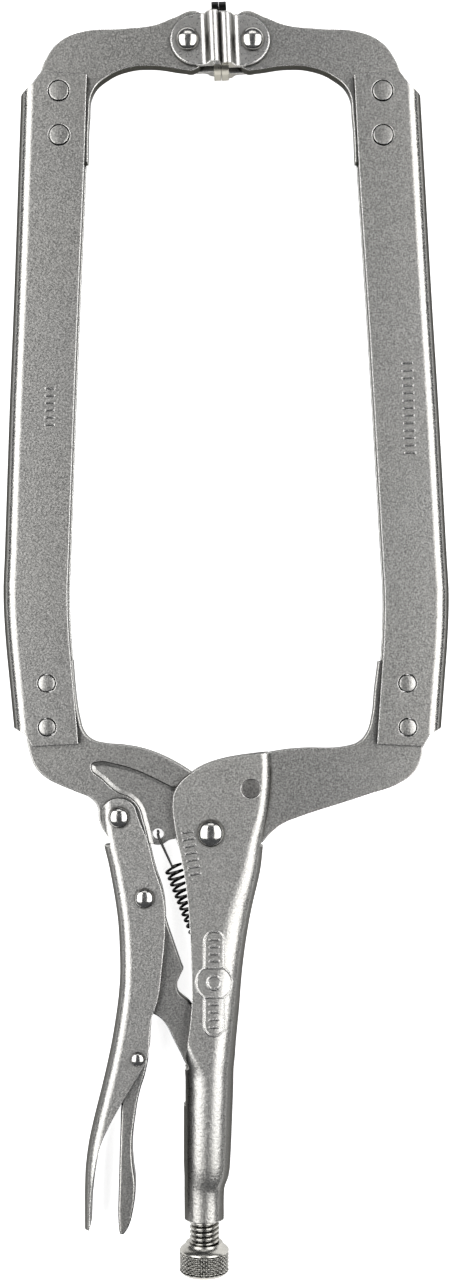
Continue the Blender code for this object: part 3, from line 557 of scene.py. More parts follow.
def movable_jaw_base():
    """The swinging plate between the left arm, the main pivot and the lever, with a pressed recess."""
    outline = [
        (-49.6, 62.0, CORNER), (-68.0, 62.0, CORNER), (-67.2, 40.0, CORNER), (-66.4, 35.0),
        (-65.2, 28.8), (-63.0, 23.3), (-59.0, 19.4), (-54.2, 16.9), (-48.1, 14.4), (-43.2, 12.2),
        (-40.8, 9.2), (-40.1, 4.0), (-37.0, -1.0), (-31.5, -2.6), (-24.6, -2.7), (-21.0, -4.3),
        (-17.6, -4.4), (-15.0, -2.9), (-12.7, -2.4, CORNER), (-9.8, -8.4), (0.0, -JAW_BOSS),
        (9.2, -9.2), (JAW_BOSS, 0.0), (9.2, 9.2), (2.0, 14.4), (-7.0, 21.6), (-12.5, 25.1),
        (-17.9, 27.8), (-24.8, 30.2), (-31.6, 31.4), (-38.5, 32.0), (-42.7, 33.2), (-45.6, 36.0),
        (-47.2, 41.0), (-48.6, 50.0),
    ]
    holes = arm_rivet_holes(LEFT, "base")
    holes += [(0, 0, MAIN_SHANK + FIT_GAP), (*LEVER_PIVOT, LEVER_SHANK + FIT_GAP)]
    holes += [(*SPRING_HOLE, SPRING_HOLE_RADIUS)]
    jaw = slab(outline, -PLATE_HALF, PLATE_HALF, holes, edge=EDGE)
    recess = [
        (-43.4, 24.0), (-41.0, 25.6), (-34.4, 24.9), (-27.5, 23.0), (-20.7, 20.0),
        (-13.8, 16.6, CORNER), (-4.0, 17.5, CORNER), (30.0, 10.0, CORNER), (30.0, -30.0, CORNER),
        (-21.4, -30.0, CORNER), (-22.4, -5.0, CORNER), (-24.6, 4.0), (-26.4, 9.2), (-29.6, 12.3),
        (-33.7, 14.0), (-38.5, 18.1),
    ]
    for face in (1, -1):
        cutter = slab(recess, 0, 2 * RECESS_RUN + 4, edge=RECESS_RUN)
        cutter.data.transform(Matrix.Diagonal((1, 1, RECESS_SLOPE, 1)))
        moved(cutter, 0, 0, PLATE_HALF - RECESS_DEPTH)
        if face < 0:
            cutter.data.transform(Matrix.Diagonal((1, 1, -1, 1)))
            cutter.data.flip_normals()
        jaw = cut(jaw, cutter)
    return jaw


def fixed_jaw_base():
    """The plate that joins the right arm to the handle, hollowed round the swinging jaw's boss."""
    clear = JAW_BOSS + 1.2
    hollow = [(x, y, CORNER) for x, y in arc(0, 0, clear, 62, -4, 24)]
    outline = hollow + [
        (18.4, -3.8, CORNER), (21.8, 0.0), (25.8, 3.1), (31.9, 5.6), (49.8, 11.4), (57.0, 13.8),
        (66.9, 17.2), (73.0, 21.6), (75.4, 26.2), (76.2, 31.0), (78.2, 40.0, CORNER),
        (80.4, 61.6, CORNER), (60.2, 61.6, CORNER), (59.0, 52.0), (57.9, 41.4), (56.3, 35.9),
        (53.6, 32.6), (49.6, 31.0), (32.0, 30.2), (25.8, 29.6), (12.0, 26.8, CORNER),
    ]
    holes = arm_rivet_holes(RIGHT, "base") + [(*JAW_LOCK_RIVET, JAW_LOCK_RADIUS + FIT_GAP)]
    return slab(outline, -PLATE_HALF, PLATE_HALF, holes, edge=EDGE)


# ---- fixed handle
HANDLE_STATIONS = (  # y, left, right, half depth, left rounding, right rounding, run of the right one
    (34.0, -20.0, 21.5, HEAD_HALF, 0.1, 4.4, 4.4),
    (22.0, -20.0, 22.3, HEAD_HALF, 0.1, 4.4, 4.4),
    (8.0, -20.0, 21.2, HEAD_HALF, 0.1, 4.6, 4.8),
    (-3.5, -20.0, 19.0, HEAD_HALF, 0.1, 5.2, 6.0),
    (-14.0, -18.0, 17.8, HEAD_HALF + 0.2, 0.1, 5.9, 7.6),
    (-28.0, -15.0, 14.6, HEAD_HALF + 0.6, 0.1, 6.3, 9.6),
    (-39.5, -13.0, 12.6, HEAD_HALF + 1.0, 0.1, 6.7, 9.8),
    (-50.8, -11.5, 11.2, HEAD_HALF + 1.5, 0.3, 7.2, 9.4),
    (-63.4, -10.2, 10.2, HEAD_HALF + 2.0, 0.6, 7.7, 9.0),
    (-75.0, -9.8, 9.1, TUBE_RADIUS - 0.4, 2.4, 8.2, 8.6),
    (-80.5, -9.8, 8.7, TUBE_RADIUS - 0.1, 5.2, 8.5, 8.6),
    (-86.0, -9.8, 8.2, TUBE_RADIUS, 8.3, 8.6, 8.6),
    (-92.0, -9.8, 8.1, TUBE_RADIUS, 8.7, 8.7, 8.7),
    (-100.0, -9.8, 7.8, TUBE_RADIUS, 8.7, 8.7, 8.7),
    (-119.0, -9.8, 7.0, 8.4, 8.3, 8.3, 8.3),
    (-124.0, -9.6, 6.4, 7.9, 7.8, 7.8, 7.8),
    (-128.5, -9.6, 4.9, NECK_RADIUS, 7.1, 7.1, 7.1),
    (NECK_END, -9.5, 4.7, NECK_RADIUS - 0.1, 7.0, 7.0, 7.0),
)
SCREW_BORE = (SCREW_X - SCREW_RADIUS - FIT_GAP, SCREW_X + SCREW_RADIUS + FIT_GAP)
HANDLE_CAVITY = (
    (40.0, -30.0, 40.0, INNER_HALF, 0.1, 0.1),
    (-4.4, -30.0, 40.0, INNER_HALF, 0.1, 0.1),
    (-4.9, -30.0, 16.3, INNER_HALF, 0.1, 2.0),
    (-14.0, -30.0, 15.2, INNER_HALF + 0.2, 0.1, 2.2),
    (-28.0, -30.0, 12.0, INNER_HALF + 0.7, 0.1, 2.8),
    (-39.5, -30.0, 10.0, INNER_HALF + 1.2, 0.1, 3.4),
    (-50.8, -30.0, 8.6, INNER_HALF + 1.7, 0.1, 4.0),
    (-63.4, -30.0, 7.6, 5.4, 0.1, 4.8),
    (-75.0, -30.0, 6.5, 5.8, 0.1, 5.6),
    (-81.0, -16.0, 6.0, 6.1, 2.0, 6.0),
    (-86.0, -8.1, 5.6, 6.3, 6.0, 6.2),
    (-100.0, -8.1, 5.2, 6.3, 6.2, 6.2),
    (-116.0, -8.1, 4.6, 6.1, 6.0, 6.0),
    (-124.0, *SCREW_BORE, 5.6, 5.55, 5.55),
    (NECK_END - 4, *SCREW_BORE, 5.6, 5.55, 5.55),
)


SEAM_HALF = 0.35  # half the gap between the tube's two edges
TAB_BOTTOM = -50.6


def handle_sections(stations, between):
    return [section(*row[:6], left_steps=10, right_steps=14, right_run=sum(row[6:]))
            for row in smooth_rows(stations, between)]


def handle_outline():
    """The fixed handle's outline seen along the rivets: a broad head that narrows to the tube."""
    head = [
        (17.6, 28.4, CORNER), (10.1, 27.4), (3.3, 26.0), (-2.9, 23.8), (-7.2, 21.2), (-10.8, 18.1),
        (-13.0, 14.6), (-13.6, 11.0), (-13.2, 4.8), (-12.1, -2.0), (-10.5, -9.3), (-8.8, -19.5),
        (-7.9, -28.1), (-7.3, -38.3), (-6.8, -50.0), (-6.9, -63.4), (-8.2, -74.5), (-9.6, -82.3),
        (-12.0, -88.0, CORNER), (-12.0, -150.0, CORNER),
    ]
    back = [
        (20.0, -150.0, CORNER), (30.0, -4.9, CORNER), (18.4, -4.3, CORNER), (18.4, -3.4), (19.6, 0.0),
        (21.3, 9.0), (22.1, 18.0), (20.7, 28.7, CORNER),
    ]
    return head + back


def spring_tab():
    """A tongue pressed in from the handle's back, for the spring's lower hook."""
    return box((3.6, TAB_BOTTOM, -1.0), (10.0, TAB_BOTTOM + 2.4, 1.0))


def fixed_handle():
    """One pressed sheet: two cheeks over the jaws, a channel below them, and a tube for the screw."""
    body = loft(handle_sections(HANDLE_STATIONS, 4))
    body = trimmed(body, handle_outline())
    body = cut(body, loft(handle_sections(HANDLE_CAVITY, 1)))
    body = cut(body, box((-20, -98, -INNER_HALF), (-4, -78, INNER_HALF)))
    seam = box((-20, NECK_END - 2, -SEAM_HALF), (SCREW_X - 4, -96, SEAM_HALF))
    body = cut(body, seam)
    body = combine(body, spring_tab(), "UNION")
    holes = [(0, 0, MAIN_SHANK + FIT_GAP), (*JAW_LOCK_RIVET, JAW_LOCK_RADIUS + FIT_GAP)]
    return drill(body, holes)


# ---- lever, link and release lever
LEVER_EDGES = (  # y, outer edge, half depth
    (14.0, -40.4, LEVER_HALF), (4.0, -39.9, LEVER_HALF), (-4.0, -38.6, LEVER_HALF + 0.15),
    (-12.9, -36.5, LEVER_HALF + 0.3), (-28.6, -33.8, LEVER_HALF + 0.55),
    (-39.6, -32.9, LEVER_HALF + 0.75), (-54.4, -32.8, LEVER_HALF + 1.0),
    (-71.6, -35.0, LEVER_HALF + 1.3), (-85.9, -37.9, LEVER_HALF + 1.55),
    (-107.8, -43.2, LEVER_HALF + 1.95), (-118.5, -44.8, LEVER_HALF + 2.1),
    (-127.4, -45.2, LEVER_HALF + 2.25), (-136.0, -45.2, LEVER_HALF + 2.4),
    (-146.0, -45.2, LEVER_HALF + 2.6),
)


def lever_sections(inset, reach):
    bend = 4.7 - inset
    steps = 5 if inset else 10
    return [section(y, edge + inset, reach, half - inset, bend, 0, steps, 0)
            for y, edge, half in smooth_rows(LEVER_EDGES, 4)]


def lever_handle():
    """The movable handle: a channel that opens towards the fixed handle and tapers to its back."""
    body = loft(lever_sections(0, 10.0))
    outline = [(x, y, CORNER) for x, y in arc(*LEVER_PIVOT, 6.7, 165, 30, 30)]
    outline += [
        (-25.5, 4.1), (-22.8, -2.4), (-20.0, -13.2), (-17.4, -21.2), (-16.5, -27.0), (-16.4, -34.2),
        (-17.5, -47.8), (-19.2, -60.1), (-21.2, -66.3), (-21.9, -72.2), (-22.5, -79.6), (-24.2, -83.6),
        (-28.4, -90.6), (-32.6, -97.7), (-36.2, -104.3), (-39.7, -112.6), (-42.0, -123.9),
        (-42.9, -131.6), (-43.3, -141.8, CORNER), (-60.0, -141.8, CORNER), (-60.0, -5.0, CORNER),
        (-36.1, -4.6, CORNER), (-36.0, -2.8, CORNER), (-38.4, 1.4),
    ]
    body = trimmed(body, outline)
    body = cut(body, loft(lever_sections(LEVER_SHEET, 20.0)))
    inner = LEVER_HALF - LEVER_SHEET - 0.2
    body = cut(body, box((-60, -4.8, -inner), (0, 20, inner)))
    rivets = ((LEVER_PIVOT, LEVER_SHANK), (LINK_PIVOT, LINK_SHANK), (RELEASE_PIVOT, RELEASE_SHANK))
    holes = [(*place, shank + FIT_GAP) for place, shank in rivets]
    return drill(body, holes)


def toggle_link():
    """The thick plate between the lever and the screw; its foot stands off the screw's tip."""
    boss = [(x, y, CORNER) for x, y in arc(*LINK_PIVOT, 6.6, 205, 20, 30)]
    outline = boss + [
        (-16.4, -30.0), (-13.4, -39.6), (-10.6, -47.6, CORNER), (-9.9, -49.2, CORNER), (-10.9, -51.2),
        (-12.1, -54.4), (-11.8, -57.4), (-10.1, -59.2), (-7.7, -61.2), (-4.4, -68.0), (-1.2, -79.0),
        (-1.6, -83.6), (-4.8, -85.3), (-8.0, -84.2), (-11.2, -78.8), (-13.6, -74.0), (-16.0, -69.2),
        (-18.4, -66.6), (-20.8, -65.2, CORNER), (-22.8, -58.0), (-26.0, -44.0), (-28.6, -33.0),
    ]
    holes = [(*LINK_PIVOT, LINK_SHANK + FIT_GAP)]
    return slab(outline, -LINK_HALF, LINK_HALF, holes, edge=EDGE)


RELEASE_HALF = 4.2
RELEASE_SHEET = 1.6


def release_lever():
    """The small lever inside the movable handle: a bent trough whose long tail is pressed to unlock."""
    outline = [
        (-27.0, -74.6), (-23.6, -76.2), (-22.6, -80.6), (-23.4, -85.9), (-25.5, -93.0),
        (-27.3, -103.1), (-28.2, -112.0), (-27.9, -119.1), (-27.1, -125.7), (-27.2, -130.0),
        (-27.9, -135.7), (-29.6, -141.7), (-31.3, -144.3, CORNER), (-32.7, -144.0, CORNER),
        (-33.1, -141.0), (-32.9, -123.9), (-32.4, -106.0), (-31.9, -95.0), (-30.2, -85.0),
        (-29.4, -78.0),
    ]
    body = slab(outline, -RELEASE_HALF, RELEASE_HALF, edge=0.8, edge_steps=3)
    trough = [(x - RELEASE_SHEET, y) for x, y in outline[2:12]]
    trough += [(-50.0, -142.4, CORNER), (-50.0, -60.0, CORNER), (-27.0, -60.0, CORNER)]
    inner = RELEASE_HALF - RELEASE_SHEET
    body = cut(body, slab(trough, -inner, inner))
    return drill(body, [(*RELEASE_PIVOT, RELEASE_SHANK + FIT_GAP)])


# ---- screw and knob
def on_screw_axis(thing):
    """Turns a piece made about Z so that its height runs along the screw."""
    return moved(rotated(thing, -math.pi / 2, "X"), SCREW_X, 0)


def screw_tip():
    """The plain round-nosed end that the toggle link bears on."""
    top, bottom = SCREW_TIP_TOP, SCREW_TIP_TOP - SCREW_TIP_LENGTH
    profile = [(0, top), (2.2, top - 0.5), (3.5, top - 1.7), (4.0, top - 3.2), (4.0, bottom), (0, bottom)]
    return on_screw_axis(turned(profile))


def relief(count, heights, radius_at, high, low):
    """A solid about Z whose skin stands radius_at(turn share, height) from the axis between two heights."""
    work = bmesh.new()
    rows = []
    for height in heights:
        row = []
        for step in range(count):
            turn = 2 * math.pi * step / count
            z = min(max(height(step / count), low), high)
            radius = radius_at(step / count, z)
            row.append(work.verts.new(millimetres(radius * math.cos(turn), radius * math.sin(turn), z)))
        rows.append(row)
    for upper, lower in zip(rows, rows[1:]):
        for step in range(count):
            nxt = (step + 1) % count
            work.faces.new((upper[step], lower[step], lower[nxt], upper[nxt]))
    work.faces.new(rows[0])
    work.faces.new(rows[-1][::-1])
    return finished(work)


def adjusting_screw():
    """The screw with a right-hand thread whose crests and roots are narrow flats."""
    top = SCREW_TIP_TOP - SCREW_TIP_LENGTH - FIT_GAP
    bottom = KNOB_END + 2.4  # inside the knob
    profile = ((0.0, 0.0), (0.14, 0.0), (0.44, 1.0), (0.58, 1.0), (0.86, 0.0))  # share of pitch, of depth

    def depth_at(share, z):
        phase = (z / THREAD_PITCH - share) % 1.0
        for (start, deep), (end, deeper) in zip(profile, profile[1:] + ((1.0, 0.0),)):
            if phase <= end:
                return deep + (deeper - deep) * (phase - start) / max(end - start, 1e-6)
        return 0.0

    def radius_at(share, z):
        runout = min(1.0, (top - z) / END_TAPER)
        return SCREW_RADIUS - THREAD_DEPTH * depth_at(share, z) - END_NARROWING * (1 - runout)

    turns = int((top - bottom) / THREAD_PITCH) + 3
    start = math.ceil(top / THREAD_PITCH) + 1
    fractions = [start - turn - 1 + part for turn in range(turns) for part, deep in reversed(profile)]
    heights = [lambda share, f=fraction: (f + share) * THREAD_PITCH for fraction in fractions]
    return on_screw_axis(relief(SCREW_STEPS, heights, radius_at, top, bottom))


KNURL_COUNT = 28
KNURL_DEPTH = 0.8
KNURL_SLOPE = 1.15 / 1.6  # knurls that a groove crosses in each millimetre of height
KNURL_ROWS = 44
COLLAR_HEIGHT = 1.2
COLLAR_RADIUS = 6.6
SHOULDER_RADIUS = 7.3
SHOULDER_STEPS = 8
SHOULDER_END = 3.0  # below the knob's top
END_CHAMFER = 0.9


def adjusting_knob():
    """The knob: a collar, a rounded shoulder, a diamond-knurled band and a chamfered end."""
    top = KNOB_TOP
    collar_low = top - COLLAR_HEIGHT
    band_top, band_low = top - SHOULDER_END, KNOB_END + 1.0

    def outline(z):
        if z > collar_low:
            return COLLAR_RADIUS + 0.3 * (top - z) / COLLAR_HEIGHT
        if z > band_top:
            share = (collar_low - z) / (collar_low - band_top)
            return SHOULDER_RADIUS + (KNOB_RADIUS - SHOULDER_RADIUS) * math.sin(share * math.pi / 2)
        if z < band_low:
            return KNOB_RADIUS - END_CHAMFER * (band_low - z) / (band_low - KNOB_END)
        return KNOB_RADIUS

    def radius_at(share, z):
        skin = outline(z)
        if band_low < z < band_top:
            one = abs((share * KNURL_COUNT + z * KNURL_SLOPE) % 1.0 - 0.5) * 2
            two = abs((share * KNURL_COUNT - z * KNURL_SLOPE) % 1.0 - 0.5) * 2
            skin -= KNURL_DEPTH * max(one, two) ** 2
        return skin

    rows = [top, top - 0.2, collar_low]
    shoulder = (collar_low - band_top) / SHOULDER_STEPS
    rows += [collar_low - shoulder * step for step in range(1, SHOULDER_STEPS + 1)]
    rows += [band_top - (band_top - band_low) * step / KNURL_ROWS for step in range(1, KNURL_ROWS)]
    rows += [band_low, band_low - 0.3, band_low - 0.7, KNOB_END]
    heights = [lambda share, z=row: z for row in rows]
    return on_screw_axis(relief(KNURL_COUNT * 8, heights, radius_at, top, KNOB_END))


# ---- spring
def spring_route():
    """The wire from the hook in the jaw's hole, down the coil, to the hook round the handle's tab."""
    front = INNER_HALF + SPRING_WIRE + 0.1
    top, bottom = Vector((-13.9, -12.2, 0)), Vector((-2.3, -42.3, 0))
    axis = (bottom - top).normalized()
    side = axis.cross(Vector((0, 0, 1)))
    hole = Vector((*SPRING_HOLE, 0))
    route = [hole + Vector((-0.3, 0.6, -front)), hole + Vector((0, 0, -front + 0.8)),
             hole + Vector((0, 0, front - 0.8)), hole + Vector((0.4, -1.2, front))]
    count = SPRING_TURNS * SPRING_TURN_STEPS
    for step in range(count + 1):
        share = step / count
        turn = 2 * math.pi * SPRING_TURNS * share + math.pi / 2
        swing = (side * math.cos(turn) + Vector((0, 0, 1)) * math.sin(turn)) * SPRING_COIL
        route.append(top.lerp(bottom, share) + swing)
    under_tab = TAB_BOTTOM - SPRING_WIRE - 0.3
    route += [Vector((5.2, under_tab + 2.6, 2.0)), Vector((5.4, under_tab + 0.3, 1.6)),
              Vector((5.4, under_tab, 0.0)), Vector((5.4, under_tab + 0.6, -1.9))]
    return route


def tension_spring():
    return wires([[place * MM for place in spring_route()]], SPRING_WIRE, 3)


# ---- plain marks
BEAD = 0.3  # half the width of a raised line
CARTOUCHE_MIDDLE = (1.2, -53.2, 6.4, 6.2)  # x, y, half width, half height of the round badge
CARTOUCHE_TOP = -35.0
CARTOUCHE_BOTTOM = -72.0
TAB_HALF = 3.5
RING_RADIUS = 2.4
HEAD_STROKES = ((-8.4, 0.4), (-5.6, -14.6), 7, 4.0)
RIGHT_ARM_STROKES = ((70.2, 168.0), (71.2, 136.0), 13, 3.8)
LEFT_ARM_STROKES = ((-57.4, 159.0), (-57.6, 146.0), 6, 3.2)


def draped(piece, paths):
    """Adds raised lines that lie on a piece's upper surface, each a list of (x, y) from the main pivot."""
    surface = BVHTree.FromPolygons([corner.co for corner in piece.data.vertices],
                                   [face.vertices for face in piece.data.polygons])
    down = Vector((0, 0, -1))
    routes = [[surface.ray_cast(millimetres(x, y, 40), down)[0] for x, y in path] for path in paths]
    lines = wires(routes, BEAD, 2)
    whole = bmesh.new()
    whole.from_mesh(piece.data)
    whole.from_mesh(lines.data)
    whole.to_mesh(piece.data)
    whole.free()
    discard(lines)
    return piece


def row_of_strokes(first, last, count, length):
    """Plain even strokes across a line between two places."""
    first, last = Vector(first), Vector(last)
    along = (last - first).normalized()
    across = Vector((-along.y, along.x))
    paths = []
    for step in range(count):
        middle = first.lerp(last, step / (count - 1))
        half = across * (length / 2)
        paths.append([tuple(middle - half), tuple(middle + half)])
    return paths


def cartouche():
    """An empty round badge between two round-ended tabs, with a small ring and strokes in it."""
    x, y, wide, tall = CARTOUCHE_MIDDLE
    tab = TAB_HALF
    opening = math.degrees(math.asin(tab / wide))
    paths = []
    for start in (-90 + opening, 90 + opening):
        ring = arc(x, y, 1.0, start, start + 180 - 2 * opening, 16)
        paths.append([(x + (a - x) * wide, y + (b - y) * tall) for a, b in ring])
    paths.append(arc(x, y, RING_RADIUS, 0, 360, 20))
    for up, end in ((1, CARTOUCHE_TOP), (-1, CARTOUCHE_BOTTOM)):
        neck = y + up * tall * math.cos(math.radians(opening))
        bow = arc(x, end - up * tab, tab, 0, up * 180, 14)
        paths.append([(x + tab, neck)] + bow + [(x - tab, neck)])
        paths.append([(x + tab, neck), (x - tab, neck)])
        paths += row_of_strokes((x, neck + up * 2.5), (x, end - up * 3.0), 4, 3.4)
    return paths


# ---- finishes
def node_of(tree, kind, **settings):
    made = tree.nodes.new(kind)
    for name, value in settings.items():
        setattr(made, name, value)
    return made


def ramp(tree, value, start, end, low=0.0, high=1.0):
    """A number that runs from low to high while value runs from start to end."""
    made = node_of(tree, "ShaderNodeMapRange")
    for name, number in (("From Min", start), ("From Max", end), ("To Min", low), ("To Max", high)):
        made.inputs[name].default_value = number
    tree.links.new(value, made.inputs["Value"])
    return made.outputs["Result"]


def noise(tree, where, scale, detail, contrast):
    """A noise of a scale in repeats per metre, spread between 0 and 1 by contrast."""
    made = node_of(tree, "ShaderNodeTexNoise")
    made.inputs["Scale"].default_value = scale
    made.inputs["Detail"].default_value = detail
    tree.links.new(where, made.inputs["Vector"])
    return ramp(tree, made.outputs["Fac"], 0.5 - 0.5 / contrast, 0.5 + 0.5 / contrast)


def mix(tree, share, first, second, **settings):
    """A colour between two, each a socket or an RGB value."""
    made = node_of(tree, "ShaderNodeMix", data_type="RGBA", **settings)
    for socket, value in ((made.inputs[0], share), (made.inputs[6], first), (made.inputs[7], second)):
        if isinstance(value, bpy.types.NodeSocket):
            tree.links.new(value, socket)
        elif isinstance(value, float):
            socket.default_value = value
        else:
            socket.default_value = (*value, 1)
    return made.outputs[2]


def darker(colour, share):
    return tuple(value * share for value in colour)


NOISE_TURN = (0.62, 0.81, 0.37)  # keeps the noises' own grid out of the flat faces
GRAIN_CONTRAST = 3.0
PIT_SHARE = 0.6  # scale of the pits against the colour's grain
CLOUD_SCALE = 90.0
CLOUD_SWING = 0.07  # how far a cloudy patch is lighter or darker
DRIFT_SCALE = 14.0
WARM, COOL = (1.0, 0.995, 0.98), (0.94, 0.94, 0.95)
SIDE_START, SIDE_FULL = 0.86, 0.62  # of the normal's Z, where the painted shade on a bend's steep side begins and is full
# how dark the painted shade on steep sides makes the colour, and the dark specular tint that paints shade on
# their reflection
PAINTED_SIDE_DARK = 0.15
PAINTED_SIDE_TINT = (0.25, 0.25, 0.24)
EDGE_START, EDGE_FULL = 0.995, 0.90  # likeness of the plain and the rounded normal on a worn edge, where its painted highlight begins and is full
BEND_START, BEND_FULL = 0.995, 0.93  # of the normal's Z, where a bend is burnished
ROUGH_SWING = (-0.04, 0.05)
WORN_GAIN = 0.12  # how much smoother a worn edge is
CREVICE = 1.1  # how far the painted shade reaches out of a corner
CORNER_SHADE_FULL, CORNER_SHADE_START = 0.35, 0.85  # openness of a corner where the painted shade is full and where it begins
# darkness of the painted shade in corners
CORNER_SHADE_DARK = 0.18
SHADE_SAMPLES = 6
END_FADE = 0.2  # over which a pad's end changes to its painted tone


def steel(name, dark, light, rough, grain_scale, grain_depth, edge_wear_and_highlight, edge_width=0.35, stain=0.25,
          burnish=0.0, painted_side_shade=0.7):
    """Worn plated steel: a fine blasted grain, cloudy patches, edges that handling has polished and that carry
    a painted highlight, and painted shade on steep sides and in corners.
    """
    made = bpy.data.materials.new(name)
    made.use_nodes = True
    tree = made.node_tree
    shader = tree.nodes["Principled BSDF"]
    shader.inputs["Metallic"].default_value = 1.0
    turned_where = node_of(tree, "ShaderNodeMapping")
    turned_where.inputs["Rotation"].default_value = NOISE_TURN
    tree.links.new(node_of(tree, "ShaderNodeTexCoord").outputs["Object"], turned_where.inputs["Vector"])
    where = turned_where.outputs["Vector"]
    grain = noise(tree, where, grain_scale, 2.0, GRAIN_CONTRAST)
    pits = noise(tree, where, grain_scale * PIT_SHARE, 2.0, 1.0)
    clouds = noise(tree, where, CLOUD_SCALE, 4.0, 1.8)
    drift = noise(tree, where, DRIFT_SCALE, 2.0, 1.6)

    # the plating's own colour
    middle = tuple((a + b) / 2 for a, b in zip(dark, light))
    brighter = tuple(min(value * (1 + CLOUD_SWING), 1) for value in middle)
    patch = mix(tree, clouds, darker(middle, 1 - CLOUD_SWING), brighter)
    colour = mix(tree, stain, mix(tree, grain, dark, light), patch)
    colour = mix(tree, 1.0, colour, mix(tree, drift, COOL, WARM), blend_type="MULTIPLY")

    # painted shade: the steep sides of bends are painted darker than the faces
    geometry = node_of(tree, "ShaderNodeNewGeometry")
    normal = node_of(tree, "ShaderNodeSeparateXYZ")
    tree.links.new(geometry.outputs["Normal"], normal.inputs[0])
    flat = node_of(tree, "ShaderNodeMath", operation="ABSOLUTE")
    tree.links.new(normal.outputs["Z"], flat.inputs[0])
    painted_side_mask = ramp(tree, flat.outputs[0], SIDE_START, SIDE_FULL, 0.0, painted_side_shade)
    colour = mix(tree, painted_side_mask, colour, darker(dark, PAINTED_SIDE_DARK))

    # worn edges with a painted highlight, and painted shade in the corners
    round_edge = node_of(tree, "ShaderNodeBevel", samples=SHADE_SAMPLES)
    round_edge.inputs["Radius"].default_value = edge_width * MM
    alike = node_of(tree, "ShaderNodeVectorMath", operation="DOT_PRODUCT")
    tree.links.new(round_edge.outputs["Normal"], alike.inputs[0])
    tree.links.new(geometry.outputs["Normal"], alike.inputs[1])
    worn_and_highlight = ramp(tree, alike.outputs["Value"], EDGE_START, EDGE_FULL)
    colour = mix(tree, worn_and_highlight, colour, edge_wear_and_highlight)
    # painted shade: corners darkened by ambient occlusion
    hollow = node_of(tree, "ShaderNodeAmbientOcclusion", samples=SHADE_SAMPLES)
    hollow.inputs["Distance"].default_value = CREVICE * MM
    unshaded = ramp(tree, hollow.outputs["AO"], CORNER_SHADE_FULL, CORNER_SHADE_START)
    colour = mix(tree, unshaded, darker(dark, CORNER_SHADE_DARK), colour)
    tree.links.new(colour, shader.inputs["Base Color"])
    # painted shade on the steep sides' reflection, by a dark specular tint
    tree.links.new(mix(tree, painted_side_mask, (1.0, 1.0, 1.0), PAINTED_SIDE_TINT), shader.inputs["Specular Tint"])

    # roughness: the grain's, less on burnished bends and least on worn edges
    low, high = ROUGH_SWING
    skin = node_of(tree, "ShaderNodeMath", operation="ADD")
    tree.links.new(ramp(tree, grain, 0.0, 1.0, rough + low, rough + high), skin.inputs[0])
    tree.links.new(ramp(tree, flat.outputs[0], BEND_START, BEND_FULL, 0.0, -burnish), skin.inputs[1])
    rubbed = node_of(tree, "ShaderNodeMix", data_type="FLOAT")
    tree.links.new(worn_and_highlight, rubbed.inputs[0])
    tree.links.new(skin.outputs[0], rubbed.inputs[2])
    rubbed.inputs[3].default_value = max(rough - WORN_GAIN, 0.12)
    tree.links.new(rubbed.outputs[0], shader.inputs["Roughness"])

    bump = node_of(tree, "ShaderNodeBump")
    bump.inputs["Strength"].default_value = 1.0
    bump.inputs["Distance"].default_value = grain_depth * MM
    tree.links.new(pits, bump.inputs["Height"])
    tree.links.new(round_edge.outputs["Normal"], bump.inputs["Normal"])
    tree.links.new(bump.outputs["Normal"], shader.inputs["Normal"])
    return made


PAD_END_SHADES = ((1, (0.012, 0.012, 0.012)), (-1, (0.36, 0.345, 0.30)))  # painted for how light falls on the ends: near-black shade above, pale beige below


def pad_steel():
    """The pads' steel: bright ears, with the ends above them painted near black as shade and the ends below
    painted a pale beige.
    """
    made = steel("satin_pad", (0.58, 0.57, 0.55), (0.70, 0.69, 0.665), 0.31, 1700, 0.01,
                 (0.95, 0.94, 0.91), edge_width=0.9)
    tree = made.node_tree
    shader = tree.nodes["Principled BSDF"]
    colour = shader.inputs["Base Color"].links[0].from_socket
    along = node_of(tree, "ShaderNodeSeparateXYZ")
    tree.links.new(node_of(tree, "ShaderNodeTexCoord").outputs["Object"], along.inputs[0])
    middle = PIVOT.y + PAD_PIVOT_Y * MM
    reach = PAD_EAR_HEIGHT / 2 * MM
    for end, shade in PAD_END_SHADES:
        start = middle + end * (reach + END_FADE * MM)
        beyond = ramp(tree, along.outputs["Y"], start, middle + end * (reach + 2 * END_FADE * MM))
        colour = mix(tree, beyond, colour, shade)
    tree.links.new(colour, shader.inputs["Base Color"])
    return made


SATIN = steel("satin_nickel", (0.31, 0.306, 0.292), (0.64, 0.631, 0.605), 0.33, 1900, 0.05,
              (0.93, 0.92, 0.89), edge_width=0.5, burnish=0.09, painted_side_shade=0.9)
HANDLE = steel("blasted_nickel", (0.34, 0.336, 0.32), (0.68, 0.67, 0.642), 0.36, 1900, 0.09,
               (0.90, 0.89, 0.86), edge_width=0.5, burnish=0.05, painted_side_shade=0.85)
SATIN_DARK = steel("satin_nickel_dull", (0.29, 0.286, 0.274), (0.58, 0.572, 0.547), 0.345, 1900, 0.05,
                   (0.88, 0.87, 0.84), edge_width=0.5)
EAR = pad_steel()
POLISHED = steel("polished_nickel", (0.66, 0.65, 0.62), (0.78, 0.77, 0.74), 0.17, 900, 0.004,
                 (0.9, 0.89, 0.86))
DARK_PLUG = steel("dull_plug", (0.17, 0.167, 0.16), (0.32, 0.315, 0.30), 0.36, 1500, 0.03,
                  (0.26, 0.255, 0.245))
SPRING_STEEL = steel("oiled_spring", (0.03, 0.029, 0.028), (0.07, 0.068, 0.065), 0.3, 2200, 0.01,
                     (0.12, 0.12, 0.12))
THREAD = steel("thread_steel", (0.46, 0.45, 0.42), (0.58, 0.57, 0.53), 0.26, 1500, 0.004,
               (0.80, 0.79, 0.75), edge_width=0.12, painted_side_shade=0.3)


